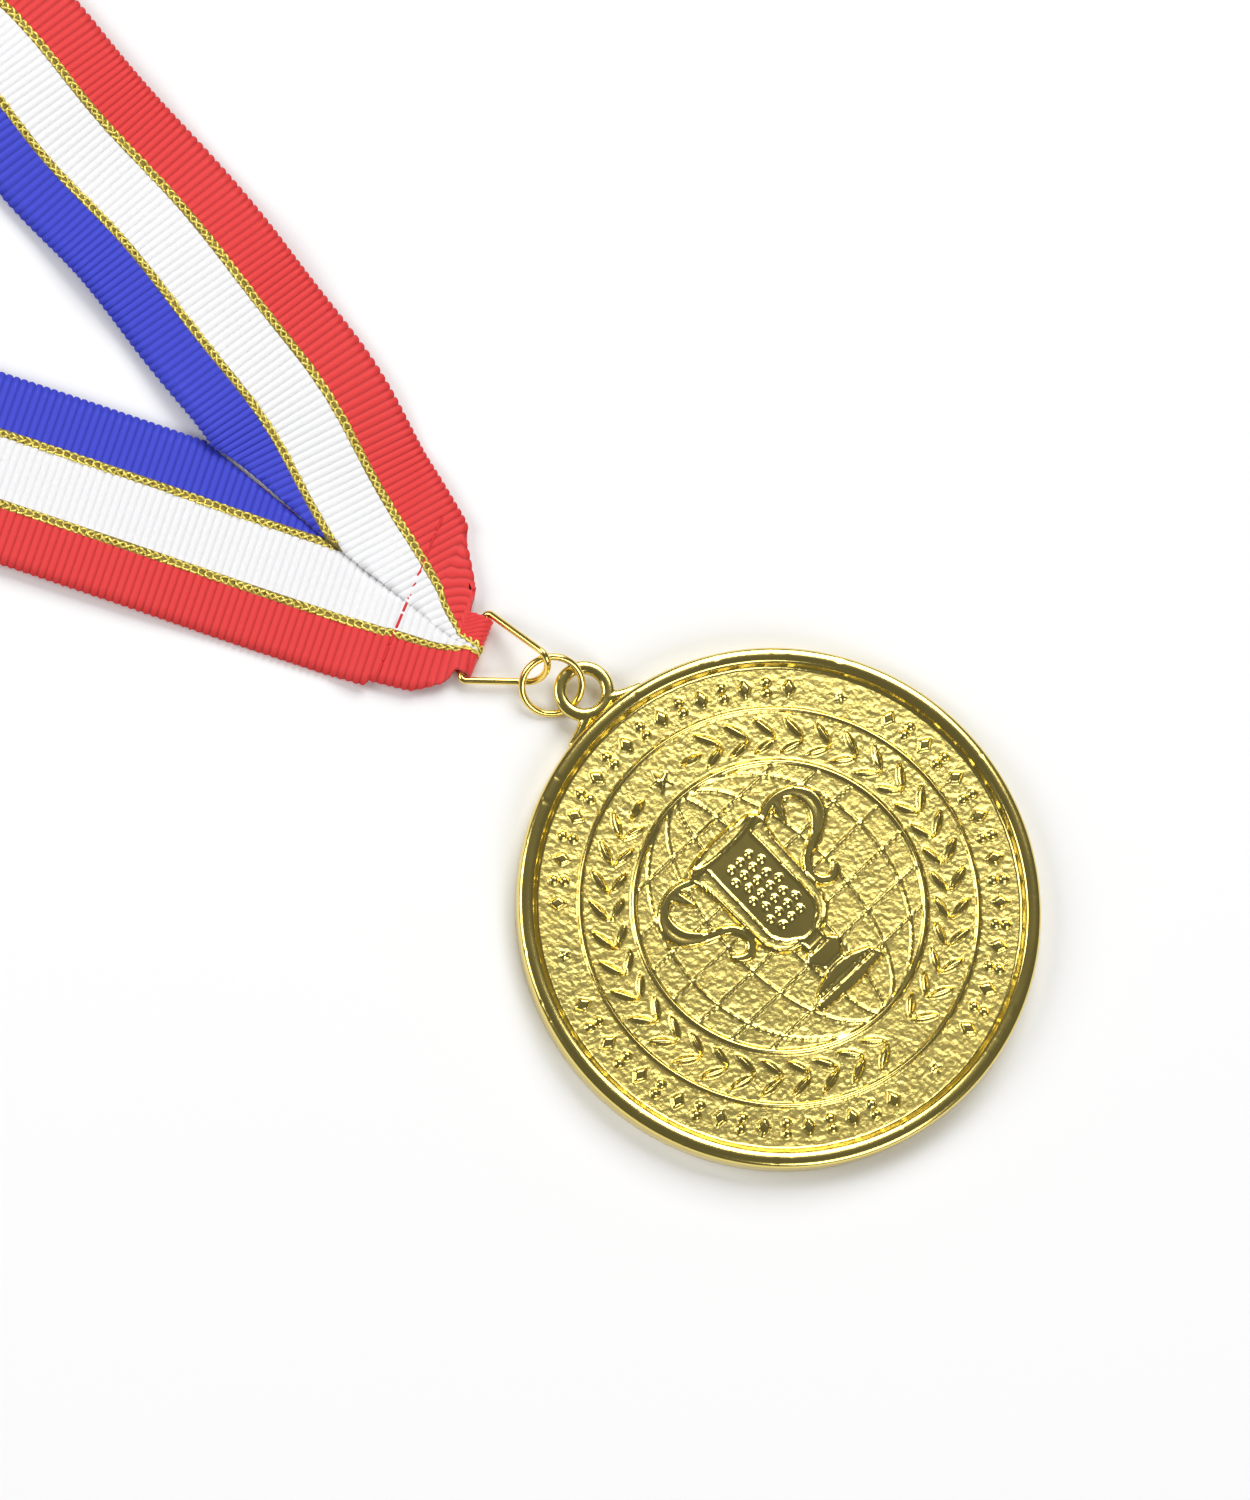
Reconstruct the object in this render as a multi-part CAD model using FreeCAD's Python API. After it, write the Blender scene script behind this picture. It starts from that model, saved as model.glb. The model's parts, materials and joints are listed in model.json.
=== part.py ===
import FreeCAD, Part
import math
import os

# A die-cast prize medal lying face up, with its jump ring, wire ribbon clip and striped neck ribbon.
# Millimetres. The origin is the centre of the medal's back face, which lies on the table at Z = 0.
# +Z comes out of the medal's front, +Y points from its centre to its bail, +X is the medal's right.

# ---- the medal's disc
DISC_RADIUS = 25.5
RIM_HEIGHT = 3.0            # back face to the crown of the rim
FIELD_HEIGHT = 2.2          # back face to the sandblasted field
RIM_ROLL = 1.35             # outer wall to the crown of the convex rim
RIM_BEVEL = 0.7             # crown to the foot of the rim's inner slope
SIDE_WALL_TOP = 1.5         # height of the straight side wall, where the rim's roll starts
BACK_EDGE = 0.4             # rounding at the back's edge
RELIEF_ROOT = 0.4           # how far every raised figure reaches down into the field
RELIEF_TURN = 1.6           # the figures stand this many degrees anticlockwise from the bail

# ---- the bail, one casting with the disc
BAIL_HOLE_RADIUS = 1.7
BAIL_BAND = 1.3             # radial width of the band round the hole
BAIL_THICKNESS = 1.2
BAIL_MID_HEIGHT = 1.65      # height of the bail's middle plane
BAIL_OFFSET = 2.7           # centre of the hole beyond the disc's edge
BAIL_EDGE = 0.42            # rounding of the band's rims
SCROLL_RADIUS = 0.75        # the small scrolls that shoulder the bail
SCROLL_ANGLE = 7.2          # where they sit on the edge, in degrees from the bail

# ---- relief
RIDGE_HEIGHT = 0.25
RIM_TO_MARKS = 1.9          # foot of the rim to the middle of the band of ornaments
RIM_TO_RING = 4.05          # foot of the rim to the ring inside that band
RING_TO_STEM = 2.8          # that ring to the wreath's stem
STEM_TO_GLOBE = 2.4
FIELD_RADIUS = DISC_RADIUS - RIM_ROLL - RIM_BEVEL
MARK_RADIUS = FIELD_RADIUS - RIM_TO_MARKS
INNER_RING_RADIUS = FIELD_RADIUS - RIM_TO_RING
STEM_RADIUS = INNER_RING_RADIUS - RING_TO_STEM
GLOBE_RADIUS = STEM_RADIUS - STEM_TO_GLOBE
DRAWN_GLOBE = 14.2          # the globe radius that the cup's outlines are drawn for
RIDGE_WIDTH = 0.5
LINE_WIDTH = 0.3            # the globe's grid lines
LINE_HEIGHT = 0.16
PARALLEL_ROWS = 3            # parallels each side of the middle one
PARALLEL_STEP = GLOBE_RADIUS / 4.3
MERIDIAN_LONGITUDES = (9.0, 27.0, 53.0)
CUP_HEIGHT = 0.5
HANDLE_HEIGHT = 0.42
LEAF_HEIGHT = 0.3
LEAF_PAIRS = 17
LEAF_PITCH = 9.4            # degrees from one pair of leaves to the next
FIRST_LEAF = 24.0           # degrees from the bail to the first pair
OUTER_LEAF = (3.1, 0.8)     # length and width
INNER_LEAF = (2.7, 0.7)
OUTER_LEAF_LEAN = 52        # degrees from straight outwards, towards the bail
INNER_LEAF_LEAN = 126
LEAF_FOOT = 0.12            # each leaf's foot from the stem's middle
MARKS_PER_GROUP = 17
MARK_PITCH = 5.8            # degrees
LOZENGE = (1.24, 1.84)      # width and radial height
BEAD_RADIUS = 0.36
BEAD_OFFSET = 0.48          # each bead of a stacked pair from the band's middle
SMALL_STAR_RADIUS = 0.62
TOP_STAR_RADIUS = 1.3

# ---- the jump ring
RING_RADIUS = 2.93          # to the middle of the wire
WIRE = 0.7                  # diameter, for the ring and the clip
RING_GAP = 5.0              # degrees left open at its butted ends
RING_LEAN = 39.23           # the way the ring lies from the hole, in degrees anticlockwise from +Y
RING_SLACK = 0.233          # from the hole's middle to the middle of the wire that passes through it
RING_LIFT = 0.27            # the ring's middle above the bail's middle plane
RING_PLAY = 0.056           # between the ring's wire and the bail, over and under
RING_SPAN = 1.296           # where the wire crosses over and under the bail, as a share of the radius
RING_HIGH_SIDE = 51.2       # the way its high side faces, in degrees anticlockwise from +X
RING_GAP_SIDE = -96.0       # where the butted ends meet, measured the same way

# ---- the ribbon clip
BEND_DEPTH = 0.6423         # how far inside the ring's wire the clip's bend lies, as a share of its radius
BEND_SHIFT = 0.3041         # how far to the side of the ring's middle, as the same share
BEND_PLAY = 0.04            # between the bend and the ring, where the upper leg crosses over
BAR_LENGTH = 7.4            # base bar, between the middles of the two legs
CLIP_REACH = 7.46           # base bar to the middle of the wire at the bend
CLIP_CORNER = 0.45          # bend radius at the bar's ends
CLIP_BEND = 1.35            # half the width of the bend where the legs end
BEND_FULLNESS = 1.5         # how far the bend carries on beyond the legs, in half widths
LOWER_LEG_RISE = 0.28       # how far the leg that passes under the ring lies above the bar
BAR_JOINT = 0.4             # gap where the wire's two ends meet inside the ribbon

# ---- the ribbon
RIBBON_WIDTH = 18.0
RIBBON_THICKNESS = 0.5
POCKET_CLEARANCE = 0.05     # round the clip's bar
V_APEX_FROM_TIP = (1.76, -17.07)    # where the outer edges would meet if the tip weren't folded
MITRE_LEAN = 9.35           # the mitre seam, in degrees anticlockwise from +Y
HALF_ANGLE = 20.85          # each strand from the mitre seam
TIP_LEAN = 26.2             # the folded tip's own direction, measured the same way
TIP_WIDTH = 8.3
NOTCH = 0.05                # play between the clip and the side of the fold
UPPER_TUCK = [(4.6, 10.2)]  # the tip's outline behind the notches: into the ribbon, out from its middle
LOWER_TUCK = [(4.0, 6.9), (9.0, 8.3)]
TURN_START = 44.0           # the upper strand runs straight this far, then turns parallel to +Y
TURN_RADIUS = 100.0
HEM = 10.5                  # length of the tip that is folded back
WEDGE = 2.6                 # length over which the fold closes behind the bar
STRAND_END = 142.0          # V apex to the far end of each folded bundle
BUNDLE_LENGTH = 38.0
BUNDLE_LAYERS = 7
LAYER_PITCH = 0.52

# ---- stitching
THREAD = 0.3
STITCH_LENGTH = 1.3
STITCH_PITCH = 1.75
STITCH_ROW = 8.4            # folded edge to the row that closes the pocket
STITCH_COUNT = 10
STITCH_SHIFT = 2.1          # middle of the row from the tip's middle, towards the upper strand
SEAM_PITCH = 3.0            # stitches along the mitre seam, on the back
SEAM_STITCH = 1.8
SEAM_START = 30.5           # V apex to the seam's first stitch
SEAM_END = 1.2              # from the last stitch to the crotch where the strands part

BAIL_Y = DISC_RADIUS + BAIL_OFFSET
BORE_RADIUS = WIRE / 2 + POCKET_CLEARANCE   # the pocket's bore for the clip's bar
FAR = 400.0                 # beyond everything, for trimming blocks


def lean(degrees):
    """Unit vector that leans this many degrees anticlockwise from +Y."""
    a = math.radians(degrees)
    return FreeCAD.Vector(-math.sin(a), math.cos(a), 0)


def flat(x, y, z=0.0):
    return FreeCAD.Vector(x, y, z)


def prism(points, low, high):
    """Straight-sided solid over a closed outline, between two heights."""
    corners = [flat(p[0], p[1], low) for p in points]
    face = Part.Face(Part.makePolygon(corners + corners[:1]))
    return face.extrude(flat(0, 0, high - low))


def raised(points, height):
    """A figure that stands on the field."""
    return prism(points, FIELD_HEIGHT - RELIEF_ROOT, FIELD_HEIGHT + height)


def mirrored(half):
    """Close a right-hand outline with its mirror image about the Y axis, fitted to the globe."""
    fit = GLOBE_RADIUS / DRAWN_GLOBE
    right = [(x * fit, y * fit) for x, y in half]
    return right + [(-x, y) for x, y in reversed(right) if x > 0]


def turned(shape, degrees):
    """The shape turned clockwise about the medal's centre, as seen from the front."""
    copy = shape.copy()
    copy.rotate(flat(0, 0), flat(0, 0, 1), -degrees)
    return copy


def hoop(radius, width, height):
    """Raised ring with sloping flanks, standing on the field."""
    low = FIELD_HEIGHT - RELIEF_ROOT
    foot, top = width / 2, width / 5
    outline = [(radius - foot, low), (radius + foot, low), (radius + foot, FIELD_HEIGHT),
               (radius + top, FIELD_HEIGHT + height), (radius - top, FIELD_HEIGHT + height),
               (radius - foot, FIELD_HEIGHT)]
    wire = Part.makePolygon([flat(r, 0, z) for r, z in outline + outline[:1]])
    return Part.Face(wire).revolve(flat(0, 0), flat(0, 0, 1), 360)


def tube(wire, diameter):
    """Round wire swept along a path that starts at its first vertex."""
    edge = wire.Edges[0]
    start = edge.valueAt(edge.FirstParameter)
    direction = edge.tangentAt(edge.FirstParameter)
    profile = Part.Wire(Part.makeCircle(diameter / 2, start, direction))
    return wire.makePipeShell([profile], True, True)


# ------------------------------------------------------------------ medal

def disc():
    """The blank: flat back, straight side wall, convex rolled rim and recessed field."""
    r, crown = DISC_RADIUS, DISC_RADIUS - RIM_ROLL
    roll_mid = flat(r - RIM_ROLL * (1 - math.sqrt(0.5)), 0,
                    SIDE_WALL_TOP + (RIM_HEIGHT - SIDE_WALL_TOP) * math.sqrt(0.5))
    edge_mid = flat(r - BACK_EDGE * (1 - math.sqrt(0.5)), 0, BACK_EDGE * (1 - math.sqrt(0.5)))
    edges = [
        Part.LineSegment(flat(0, 0), flat(r - BACK_EDGE, 0)),
        Part.Arc(flat(r - BACK_EDGE, 0), edge_mid, flat(r, 0, BACK_EDGE)),
        Part.LineSegment(flat(r, 0, BACK_EDGE), flat(r, 0, SIDE_WALL_TOP)),
        Part.Arc(flat(r, 0, SIDE_WALL_TOP), roll_mid, flat(crown, 0, RIM_HEIGHT)),
        Part.LineSegment(flat(crown, 0, RIM_HEIGHT), flat(crown - RIM_BEVEL, 0, FIELD_HEIGHT)),
        Part.LineSegment(flat(crown - RIM_BEVEL, 0, FIELD_HEIGHT), flat(0, 0, FIELD_HEIGHT)),
        Part.LineSegment(flat(0, 0, FIELD_HEIGHT), flat(0, 0)),
    ]
    face = Part.Face(Part.Wire([e.toShape() for e in edges]))
    return face.revolve(flat(0, 0), flat(0, 0, 1), 360)


def bail():
    """Rounded band round the hole, with a web and two small scrolls that carry it on the edge."""
    low = BAIL_MID_HEIGHT - BAIL_THICKNESS / 2
    outer = BAIL_HOLE_RADIUS + BAIL_BAND
    band = Part.makeCylinder(outer, BAIL_THICKNESS, flat(0, BAIL_Y, low))
    hole = Part.makeCylinder(BAIL_HOLE_RADIUS, BAIL_THICKNESS + 2, flat(0, BAIL_Y, low - 1))
    band = band.cut(hole)
    rims = [e for e in band.Edges if len(e.Vertexes) == 1]
    edge = min(BAIL_EDGE, 0.45 * BAIL_BAND, 0.45 * BAIL_THICKNESS)
    band = band.makeFillet(edge, rims)
    spread = math.radians(SCROLL_ANGLE)
    foot_x = (DISC_RADIUS - 0.4) * math.sin(spread)
    foot_y = (DISC_RADIUS - 0.4) * math.cos(spread)
    web = prism([(foot_x, foot_y), (outer * 0.72, BAIL_Y - outer * 0.62),
                 (-outer * 0.72, BAIL_Y - outer * 0.62), (-foot_x, foot_y), (0, DISC_RADIUS - 1.0)],
                low + 0.1, low + BAIL_THICKNESS - 0.1).cut(hole)
    pieces = [web]
    for side in (-1, 1):
        x = side * (DISC_RADIUS + 0.1) * math.sin(spread)
        y = (DISC_RADIUS + 0.1) * math.cos(spread)
        scroll = Part.makeCylinder(SCROLL_RADIUS, BAIL_THICKNESS - 0.1, flat(x, y, low + 0.05))
        pieces.append(scroll)
    return band.multiFuse(pieces)


def globe():
    """Outline ring with horizontal parallels and meridians that run to both poles."""
    pieces = [hoop(GLOBE_RADIUS, RIDGE_WIDTH, RIDGE_HEIGHT)]
    inside = GLOBE_RADIUS - 0.05
    for row in range(-PARALLEL_ROWS, PARALLEL_ROWS + 1):
        y = row * PARALLEL_STEP + LINE_WIDTH
        reach = math.sqrt(inside ** 2 - y ** 2)
        pieces.append(raised([(-reach, y - LINE_WIDTH / 2), (reach, y - LINE_WIDTH / 2),
                              (reach, y + LINE_WIDTH / 2), (-reach, y + LINE_WIDTH / 2)], LINE_HEIGHT))
    for longitude in MERIDIAN_LONGITUDES:
        width = inside * math.sin(math.radians(longitude))
        faces = []
        for grow in (LINE_WIDTH / 2, -LINE_WIDTH / 2):
            oval = Part.Ellipse(flat(0, inside, 0), flat(width + grow, 0, 0), flat(0, 0, 0))
            faces.append(Part.Face(Part.Wire(oval.toShape())))
        line = faces[0].cut(faces[1]).extrude(flat(0, 0, RELIEF_ROOT + LINE_HEIGHT))
        line.translate(flat(0, 0, FIELD_HEIGHT - RELIEF_ROOT))
        pieces.append(line)
    return pieces


def cup():
    """The trophy: bowl with a raised plate and mouth, knopped stem, two-tier base."""
    bowl = mirrored([(0, 8.9), (2.6, 8.75), (4.0, 8.3), (4.9, 7.5), (4.35, 6.2), (4.15, 0.5), (4.0, -1.8),
                     (3.4, -3.1), (2.4, -3.95), (1.3, -4.3), (1.3, -5.3), (0, -5.3)])
    plate = mirrored([(0, 7.3), (2.85, 7.3), (2.85, -1.5), (0.5, -3.9), (0, -3.9)])
    knop = mirrored([(0, -5.1), (1.35, -5.1), (2.15, -5.9), (1.25, -7.3), (1.35, -8.0), (0, -8.0)])
    upper_base = mirrored([(0, -7.8), (2.2, -7.95), (3.5, -8.8), (3.4, -9.2), (0, -9.4)])
    lower_base = mirrored([(0, -9.1), (2.9, -9.2), (4.15, -9.75), (3.8, -10.3), (0, -10.5)])
    pieces = [raised(bowl, CUP_HEIGHT), raised(knop, CUP_HEIGHT), raised(upper_base, CUP_HEIGHT + 0.02),
              raised(lower_base, CUP_HEIGHT - 0.08), raised(plate, CUP_HEIGHT + 0.12)]
    pieces += [handle(side) for side in (-1, 1)]
    return pieces


def handle(side):
    """An S-scroll handle: a band whose width follows its centre line."""
    route = [(3.9, 7.0, 0.9), (6.0, 7.6, 0.8), (7.4, 7.5, 0.9), (8.9, 6.6, 1.0), (9.8, 5.2, 1.3),
             (9.4, 3.6, 1.3), (7.6, 2.4, 1.0), (5.6, 1.7, 0.9), (4.6, 0.7, 0.85), (4.7, -0.6, 0.85),
             (5.7, -1.3, 0.8), (6.7, -0.7, 0.5), (6.9, -0.2, 0.3)]
    fit = GLOBE_RADIUS / DRAWN_GLOBE
    route = [(x * fit, y * fit, width * fit) for x, y, width in route]
    left, right = [], []
    for i, (x, y, width) in enumerate(route):
        before, after = route[max(i - 1, 0)], route[min(i + 1, len(route) - 1)]
        run = math.hypot(after[0] - before[0], after[1] - before[1])
        nx, ny = -(after[1] - before[1]) / run, (after[0] - before[0]) / run
        left.append((side * (x + nx * width / 2), y + ny * width / 2))
        right.append((side * (x - nx * width / 2), y - ny * width / 2))
    return raised(left + right[::-1], HANDLE_HEIGHT)


def leaf(length, width):
    """Pointed leaf along +Y from its foot at the origin."""
    arcs = [Part.Arc(flat(0, 0), flat(width / 2, length * 0.45), flat(0, length)),
            Part.Arc(flat(0, length), flat(-width / 2, length * 0.45), flat(0, 0))]
    face = Part.Face(Part.Wire([a.toShape() for a in arcs]))
    body = face.extrude(flat(0, 0, RELIEF_ROOT + LEAF_HEIGHT))
    body.translate(flat(0, 0, FIELD_HEIGHT - RELIEF_ROOT))
    return body


def wreath():
    """Two branches of paired leaves that open towards the bail."""
    pieces = []
    for side in (-1, 1):
        for i in range(LEAF_PAIRS):
            at = side * (FIRST_LEAF + LEAF_PITCH * i)
            for (length, width), tilt, foot in ((OUTER_LEAF, OUTER_LEAF_LEAN, LEAF_FOOT),
                                                (INNER_LEAF, INNER_LEAF_LEAN, -LEAF_FOOT)):
                one = leaf(length, width)
                one.rotate(flat(0, 0), flat(0, 0, 1), side * tilt)
                one.translate(flat(0, STEM_RADIUS + foot))
                pieces.append(turned(one, at))
    return pieces


def star(radius):
    points = []
    for i in range(10):
        reach = radius if i % 2 == 0 else radius * 0.42
        points.append((reach * math.sin(i * math.pi / 5), reach * math.cos(i * math.pi / 5)))
    return points


def lozenge():
    """Plain diamond in the middle of the band."""
    half_x, half_y = LOZENGE[0] / 2, LOZENGE[1] / 2
    return raised([(0, MARK_RADIUS - half_y), (half_x, MARK_RADIUS), (0, MARK_RADIUS + half_y),
                   (-half_x, MARK_RADIUS)], RIDGE_HEIGHT)


def bead_pair():
    """Two round studs, one outside the other."""
    low = FIELD_HEIGHT - RELIEF_ROOT
    studs = [Part.makeCylinder(BEAD_RADIUS, RELIEF_ROOT + RIDGE_HEIGHT, flat(0, MARK_RADIUS + step, low))
             for step in (-BEAD_OFFSET, BEAD_OFFSET)]
    return Part.makeCompound(studs)


def marks():
    """Three arcs of lozenges and bead pairs, a small star between each two, and one above the globe."""
    figures = [raised([(x, y + STEM_RADIUS) for x, y in star(TOP_STAR_RADIUS)], LEAF_HEIGHT)]
    for group in range(3):
        for i in range(MARKS_PER_GROUP):
            at = group * 120 + (i - (MARKS_PER_GROUP - 1) / 2) * MARK_PITCH
            one = lozenge() if i % 2 == 0 else bead_pair()
            figures += [turned(solid, at) for solid in one.Solids]
        small = raised([(x, y + MARK_RADIUS) for x, y in star(SMALL_STAR_RADIUS)], RIDGE_HEIGHT)
        figures.append(turned(small, 60 + group * 120))
    return figures


def medal_casting():
    figures = [hoop(INNER_RING_RADIUS, RIDGE_WIDTH, RIDGE_HEIGHT)] + globe() + cup() + wreath() + marks()
    figures = [turned(f, -RELIEF_TURN) for f in figures]
    return disc().multiFuse([bail()] + figures)


# ------------------------------------------------------------------ jump ring and clip

def ring_frame():
    """Middle of the jump ring, and its tilt out of the medal's plane."""
    centre = flat(0, BAIL_Y, BAIL_MID_HEIGHT + RING_LIFT) + lean(RING_LEAN) * (RING_RADIUS + RING_SLACK)
    rise = (BAIL_THICKNESS + WIRE + 2 * RING_PLAY) / (RING_SPAN * RING_RADIUS)
    return centre, math.degrees(math.asin(rise))


def jump_ring():
    """Round wire bent to an open circle, lying aslant through the bail's hole."""
    start = flat(RING_RADIUS, 0)
    profile = Part.Face(Part.Wire(Part.makeCircle(WIRE / 2, start, flat(0, 1))))
    ring = profile.revolve(flat(0, 0), flat(0, 0, 1), 360 - RING_GAP)
    ring.rotate(flat(0, 0), flat(0, 0, 1), RING_GAP_SIDE + RING_GAP / 2)
    high = math.radians(RING_HIGH_SIDE)
    hinge_line = flat(math.sin(high), -math.cos(high))
    centre, tilt = ring_frame()
    ring.rotate(flat(0, 0), hinge_line, tilt)
    ring.translate(centre)
    return ring


def bar_frame():
    """Middle of the clip's bar, the way into the ribbon, and the way along the bar to its upper end."""
    into = lean(TIP_LEAN)
    along = lean(TIP_LEAN - 90)
    ring_centre, tilt = ring_frame()
    from_ring = RING_RADIUS * (1 - BEND_DEPTH) + CLIP_REACH
    centre = ring_centre + into * from_ring + along * (RING_RADIUS * BEND_SHIFT)
    centre.z = RIBBON_THICKNESS + BORE_RADIUS
    return centre, into, along


def clear_half_width():
    """Half the width of fold that fits between the clip's corner bends and its converging legs."""
    inward, reach = BAR_LENGTH / 2 - CLIP_BEND, CLIP_REACH - CLIP_BEND
    corner = BAR_LENGTH / 2 - CLIP_CORNER / math.tan(math.atan2(reach, inward) / 2)
    slope = inward / reach
    leg = BAR_LENGTH / 2 - (BORE_RADIUS + RIBBON_THICKNESS) * slope - WIRE / 2 * math.hypot(1, slope)
    return min(corner, leg)


def leg(side, rise):
    """Corner where a leg leaves the bar, the leg's end at the bend, and the way down the leg."""
    centre, into, along = bar_frame()
    corner = centre + along * (side * BAR_LENGTH / 2)
    end = centre - into * (CLIP_REACH - CLIP_BEND) + along * (side * CLIP_BEND) + flat(0, 0, rise)
    return corner, end, (end - corner).normalize()


def bend(upper_rise):
    """The rounded bend that joins the two legs."""
    curve = Part.BezierCurve()
    reach = CLIP_BEND * BEND_FULLNESS
    (_, upper, down), (_, lower, lower_down) = leg(1, upper_rise), leg(-1, LOWER_LEG_RISE)
    curve.setPoles([upper, upper + down * reach, lower + lower_down * reach, lower])
    return curve


def bend_to_ring(upper_rise):
    """Least distance between the middles of the two wires, along the upper half of the bend."""
    centre, tilt = ring_frame()
    high, tilt = math.radians(RING_HIGH_SIDE), math.radians(tilt)
    normal = flat(-math.sin(tilt) * math.cos(high), -math.sin(tilt) * math.sin(high), math.cos(tilt))
    curve = bend(upper_rise)
    least = FAR
    for i in range(41):
        offset = curve.value(i / 80) - centre
        out_of_plane = offset.dot(normal)
        in_plane = (offset - normal * out_of_plane).Length
        least = min(least, math.hypot(out_of_plane, in_plane - RING_RADIUS))
    return least


def upper_leg_rise():
    """How far the leg that crosses over the ring springs up: as far as its bend needs to clear the ring."""
    ring_centre, tilt = ring_frame()
    low = ring_centre.z + RING_RADIUS * math.sin(math.radians(tilt)) - bar_frame()[0].z
    high = low + 2 * RING_RADIUS
    for _ in range(20):
        middle = (low + high) / 2
        if bend_to_ring(middle) < WIRE + BEND_PLAY:
            low = middle
        else:
            high = middle
    return high


def ribbon_clip():
    """Triangle of wire: a straight bar in the ribbon's tip, two legs and a rounded bend."""
    centre, into, along = bar_frame()
    rise = upper_leg_rise()
    ends = {}
    for side, height in ((1, rise), (-1, LOWER_LEG_RISE)):
        corner, leg_end, down_leg = leg(side, height)
        inwards = along * -side
        half = math.acos(inwards.dot(down_leg)) / 2
        set_back = CLIP_CORNER / math.tan(half)
        on_bar = corner + inwards * set_back
        on_leg = corner + down_leg * set_back
        middle = (inwards + down_leg).normalize()
        arc_mid = corner + middle * (CLIP_CORNER / math.sin(half) - CLIP_CORNER)
        bar_end = centre + along * (side * BAR_JOINT / 2)
        ends[side] = (bar_end, on_bar, arc_mid, on_leg, leg_end)
    bar_end, on_bar, arc_mid, on_leg, leg_end = ends[1]
    far_bar, far_on_bar, far_mid, far_on_leg, far_leg_end = ends[-1]
    path = [Part.LineSegment(bar_end, on_bar), Part.Arc(on_bar, arc_mid, on_leg),
            Part.LineSegment(on_leg, leg_end), bend(rise), Part.LineSegment(far_leg_end, far_on_leg),
            Part.Arc(far_on_leg, far_mid, far_on_bar), Part.LineSegment(far_on_bar, far_bar)]
    return tube(Part.Wire([p.toShape() for p in path]), WIRE)


# ------------------------------------------------------------------ ribbon

def tip_middle():
    """Middle of the folded edge that goes round the clip's bar."""
    centre, into, along = bar_frame()
    tip = centre - into * (RIBBON_THICKNESS + BORE_RADIUS)
    return flat(tip.x, tip.y)


def v_apex():
    return tip_middle() + flat(*V_APEX_FROM_TIP)


def strand_edges(side):
    """Centre line points and outward normals of one strand, from the V apex to its far end.
    side 1 is the upper strand, which turns parallel to +Y, and side -1 is the lower one."""
    heading = MITRE_LEAN - side * HALF_ANGLE
    along = lean(heading)
    outward = lean(heading - side * 90)
    start = v_apex() - outward * (RIBBON_WIDTH / 2)
    if side < 0:
        return [(start, outward), (start + along * STRAND_END, outward)]
    stations = [(start, outward), (start + along * TURN_START, outward)]
    steps = 6
    bend_centre = stations[-1][0] - outward * TURN_RADIUS
    for i in range(1, steps + 1):
        at = lean(heading * (1 - i / steps) - 90)
        stations.append((bend_centre + at * TURN_RADIUS, at))
    left = STRAND_END - TURN_START - TURN_RADIUS * math.radians(abs(heading))
    stations.append((stations[-1][0] + flat(0, left), flat(1, 0)))
    return stations


def strand(side, low=0.0, high=RIBBON_THICKNESS):
    """One strand's plan as far as the mitre seam, between two heights."""
    stations = strand_edges(side)
    half = RIBBON_WIDTH / 2
    outer = [c + n * half for c, n in stations]
    inner = [c - n * half for c, n in stations]
    whole = prism([(p.x, p.y) for p in outer + inner[::-1]], low, high)
    apex, along = v_apex(), lean(MITRE_LEAN)
    across = lean(MITRE_LEAN - side * 90) * FAR
    near, far = apex - along * FAR, apex + along * FAR
    own_side = prism([(p.x, p.y) for p in (near, far, far + across, near + across)], low - 1, high + 1)
    return whole.common(own_side)


def far_end(side):
    """Middle of a strand's far end, the way it runs there and the way out to its red edge."""
    end, outward = strand_edges(side)[-1]
    along = flat(-outward.y, outward.x) * side
    return end, along, outward


def bundle(side):
    """The strand's spare length, folded to and fro into a flat pack on its far end."""
    end, along, outward = far_end(side)
    half = outward * (RIBBON_WIDTH / 2)
    near = end - along * BUNDLE_LENGTH
    corners = [near - half, near + half, end + half, end - half]
    return prism([(p.x, p.y) for p in corners], 0, BUNDLE_LAYERS * LAYER_PITCH)


def crossing():
    """The length that joins the two strands behind the neck, laid across the tops of the packs."""
    half = RIBBON_WIDTH / 2
    top = BUNDLE_LAYERS * LAYER_PITCH
    (a, a_along, a_out), (b, b_along, b_out) = far_end(1), far_end(-1)
    a, b = a - a_along * half, b - b_along * half
    run = (b - a).normalize()
    square = flat(-run.y, run.x)
    corners = [a - square * half, a + square * half, b + square * half, b - square * half]
    return prism([(p.x, p.y) for p in corners], top - RIBBON_THICKNESS, top)


def trim_plan():
    """What the tip's outline leaves of the cloth: a notch for each clip leg, then the tucked corners."""
    centre, into, along = bar_frame()
    notch_half = clear_half_width() - NOTCH
    notch_end = WIRE + NOTCH
    tip_half = TIP_WIDTH / 2
    upper = [(-2, notch_half), (notch_end, notch_half), (notch_end + 0.4, tip_half)] + UPPER_TUCK
    lower = [(-2, -notch_half), (notch_end, -notch_half), (notch_end + 0.4, -tip_half)]
    lower += [(t, -q) for t, q in LOWER_TUCK]
    outline = lower + [(lower[-1][0], -FAR), (FAR, -FAR), (FAR, FAR), (upper[-1][0], FAR)] + upper[::-1]
    points = [flat(centre.x, centre.y) + into * t + along * q for t, q in outline]
    return prism([(p.x, p.y) for p in points], -2, 12)


def folded_tip():
    """The tip folded round the clip's bar, with its hem turned under, and the bore for the bar."""
    centre, into, along = bar_frame()
    radius = BORE_RADIUS + RIBBON_THICKNESS
    double = 2 * RIBBON_THICKNESS
    wide = RIBBON_WIDTH * 2
    start = centre - along * (wide / 2)
    profile = [(0, 0), (HEM, 0), (HEM, double), (WEDGE, double), (0, 2 * radius)]
    points = [flat(start.x, start.y, z) + into * t for t, z in profile]
    block = Part.Face(Part.makePolygon(points + points[:1])).extrude(along * wide)
    roll = Part.makeCylinder(radius, wide, start, along)
    bore = Part.makeCylinder(BORE_RADIUS, wide, start, along)
    silhouette = strand(1, -2, 10).fuse(strand(-1, -2, 10))
    return block.fuse(roll).common(silhouette).common(trim_plan()), bore


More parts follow.
